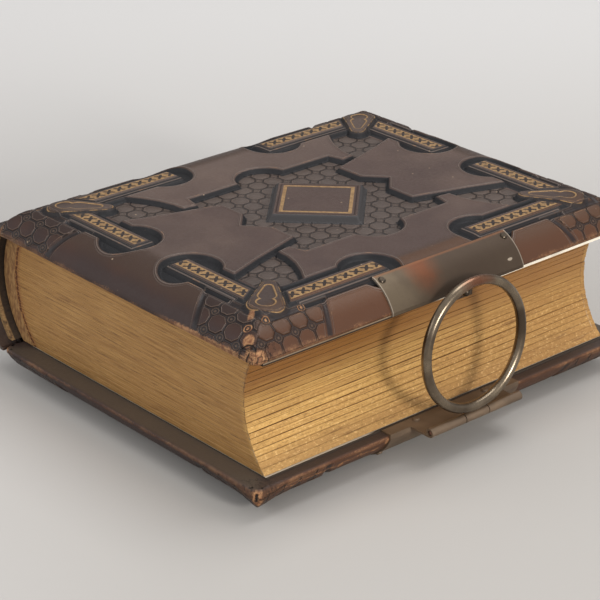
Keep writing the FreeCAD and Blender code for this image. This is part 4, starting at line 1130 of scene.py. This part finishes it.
def leaf_stack():
    """All leaves as closed slabs: each outline is carried through its thickness with softened edges.

    Each leaf's fore edge follows the hollow arc at its own height, with a small shift of its own, and its
    height sways by less than a tenth of a millimetre along the block.
    """
    rng = np.random.default_rng(11)
    bottom, top = leaf_low[2], leaf_high[2]
    pitch = (top - bottom + LEAF_GAP) / LEAF_COUNT
    borders = bottom + pitch * (np.arange(LEAF_COUNT + 1) + rng.normal(0.0, LEAF_UNEVENNESS, LEAF_COUNT + 1))
    borders[0], borders[-1] = bottom, top + LEAF_GAP
    points, faces, leaf, joint = [], [], [], []
    start = 0
    for k in range(LEAF_COUNT):
        z0, z1 = borders[k], borders[k + 1] - LEAF_GAP
        shift = rng.normal(0.0, LEAF_SHIFT)
        tone = rng.uniform(0.0, 1.0)
        sway_height = LEAF_SWAY * min(k, LEAF_COUNT - 1 - k, 2) / 2.0
        levels = [(z0 + rise, inset, seam) for rise, inset, seam in LEAF_RINGS]
        levels += [(z1 - rise, inset, seam) for rise, inset, seam in reversed(LEAF_RINGS)]
        for z, inset, seam in levels:
            x, y, ends = leaf_outline(z, shift)
            sway = sway_height * np.sin(x * 0.05 + y * 0.045 + 0.4 * k)
            x = x - np.sign(x) * inset * (1.0 - ends)
            y = y - np.sign(y) * inset * 0.3 * ends
            points.append(np.stack([x, y, np.full(len(x), z) + sway], -1))
            leaf.append(np.stack([np.full(len(x), seam), np.full(len(x), tone), ends], -1))
            joint.append(x - guard_x(z))
        count = len(points[-1])
        faces.append((start + np.arange(count))[::-1].tolist())
        faces += grid_faces(len(levels), count, start, wrap_columns=True)
        start += len(levels) * count
        faces.append((start - count + np.arange(count)).tolist())
    return np.concatenate(points), faces, {"leaf": np.concatenate(leaf), "joint": np.concatenate(joint)}


points, faces, attributes = leaf_stack()
leaves = make_piece("card_leaves", points, faces, attributes, smooth=False)
leaves.data.materials.append(gilt_edges())
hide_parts("leaf_block")
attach(leaves, "book_block")


# ---------------------------------------------------------------- finishes of the remaining pieces

def dress(material, *nodes):
    """Gives frame nodes their finish."""
    for node in nodes:
        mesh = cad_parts[node].data
        mesh.materials.clear()
        mesh.materials.append(material)


ring_low, ring_high = (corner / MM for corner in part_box("clasp_ring"))
ring_top = (ring_high.x, (ring_low.y + ring_high.y) / 2, ring_high.z)

dress(lining_paper(
    "front lining paper", clean=(0.78, 0.72, 0.60), soiled=(0.17, 0.11, 0.060),
    fore=59.5, tail=71.85, below=46.82, clean_at=-5.0, dark_at=-12.0, clean_width=9.0,
), "front_lining")
dress(lining_paper(
    "back lining paper", clean=(0.62, 0.55, 0.44), soiled=(0.55, 0.47, 0.36),
    fore=55.4, tail=68.05, below=99.0, clean_at=-31.0, dark_at=-27.0, clean_width=0.46,
), "back_lining")
dress(guard_cloth(), "leaf_guards")
dress(liner_card(), "spine_liner")
dress(spine_calf(), "spine_leather")
dress(board_card(), "front_board", "back_board")
dress(plate_brass(), "clasp_upper_plate")
dress(
    old_brass("lower plate brass", 0.42, (0.100, 0.066, 0.041), (0.190, 0.130, 0.082), metal=0.4),
    "clasp_lower_plate", "ring_knuckle", "lower_plate_nails",
)
dress(
    old_brass("ring brass", 0.17, (0.075, 0.055, 0.038), (0.21, 0.165, 0.115), blush=ring_top),
    "clasp_ring",
)
dress(
    old_brass("nail brass", 0.24, (0.024, 0.018, 0.014), (0.060, 0.046, 0.032)),
    "upper_plate_nails", "clasp_stud",
)
dress(
    old_brass("pin copper", 0.45, (0.20, 0.085, 0.055), (0.34, 0.165, 0.115), metal=0.2),
    "hinge_pin",
)


# ---------------------------------------------------------------- floor, light and camera

def studio_floor():
    """A floor that curves up into a wall far behind the album: a straight run, a quarter circle, a rise."""
    bend = np.linspace(0.0, np.pi / 2, 16)
    run = np.concatenate([
        [FLOOR_START, FLOOR_END], FLOOR_END + WALL_BEND * np.sin(bend)[1:], [FLOOR_END + WALL_BEND],
    ])
    rise = np.concatenate([[0.0, 0.0], WALL_BEND - WALL_BEND * np.cos(bend)[1:], [WALL_HEIGHT]])
    side = np.array([-FLOOR_HALF_WIDTH, FLOOR_HALF_WIDTH])
    run, side = np.meshgrid(run, side, indexing="ij")
    x = run * -AWAY_X + side * AWAY_Y
    y = run * AWAY_Y + side * AWAY_X
    z = np.repeat(rise[:, None], 2, axis=1)
    points = np.stack([x, y, z], -1).reshape(-1, 3) / MM
    floor = make_piece("studio_floor", points, grid_faces(len(rise), 2))
    floor.data.materials.append(pale_floor())


def soft_lamp(name, place, aim, width, height, power, colour=(1.0, 1.0, 1.0)):
    """A rectangular lamp at a place in metres, turned to face its aim."""
    data = bpy.data.lights.new(name, "AREA")
    data.shape = "RECTANGLE"
    data.size, data.size_y = width, height
    data.energy = power
    data.color = colour
    lamp = bpy.data.objects.new(name, data)
    lamp.location = place
    lamp.rotation_euler = (Vector(aim) - Vector(place)).to_track_quat("-Z", "Y").to_euler()
    bpy.context.scene.collection.objects.link(lamp)


def room_light(colour, strength):
    """Even light from all round."""
    world = bpy.data.worlds.new("studio")
    bpy.context.scene.world = world
    world.use_nodes = True
    background = world.node_tree.nodes["Background"]
    background.inputs["Color"].default_value = (*colour, 1.0)
    background.inputs["Strength"].default_value = strength


def set_camera(place, heading, lens):
    """A camera at a place in metres that looks along a heading, upright."""
    data = bpy.data.cameras.new("camera")
    data.sensor_width = 36.0
    data.lens = lens
    camera = bpy.data.objects.new("camera", data)
    camera.location = place
    camera.rotation_mode = "QUATERNION"
    camera.rotation_quaternion = Vector(heading).to_track_quat("-Z", "Y")
    bpy.context.scene.collection.objects.link(camera)
    bpy.context.scene.camera = camera


studio_floor()
soft_lamp("key_lamp", (1.15, -0.12, 0.42), (0.05, 0.0, 0.03), 0.22, 0.22, 9.5, (1.0, 0.97, 0.93))
soft_lamp("top_lamp", (0.02, 0.36, 1.08), (0.0, 0.0, 0.0), 0.7, 0.7, 6.8)
soft_lamp("tail_lamp", (-0.45, -1.05, 0.60), (0.0, 0.0, 0.02), 0.9, 0.6, 4.2)
room_light((0.80, 0.80, 0.81), 0.95)
set_camera((0.4494, -0.4003, 0.2960), (-0.6856, 0.6002, -0.4120), 129.7)
bpy.context.scene.view_settings.view_transform = "Standard"
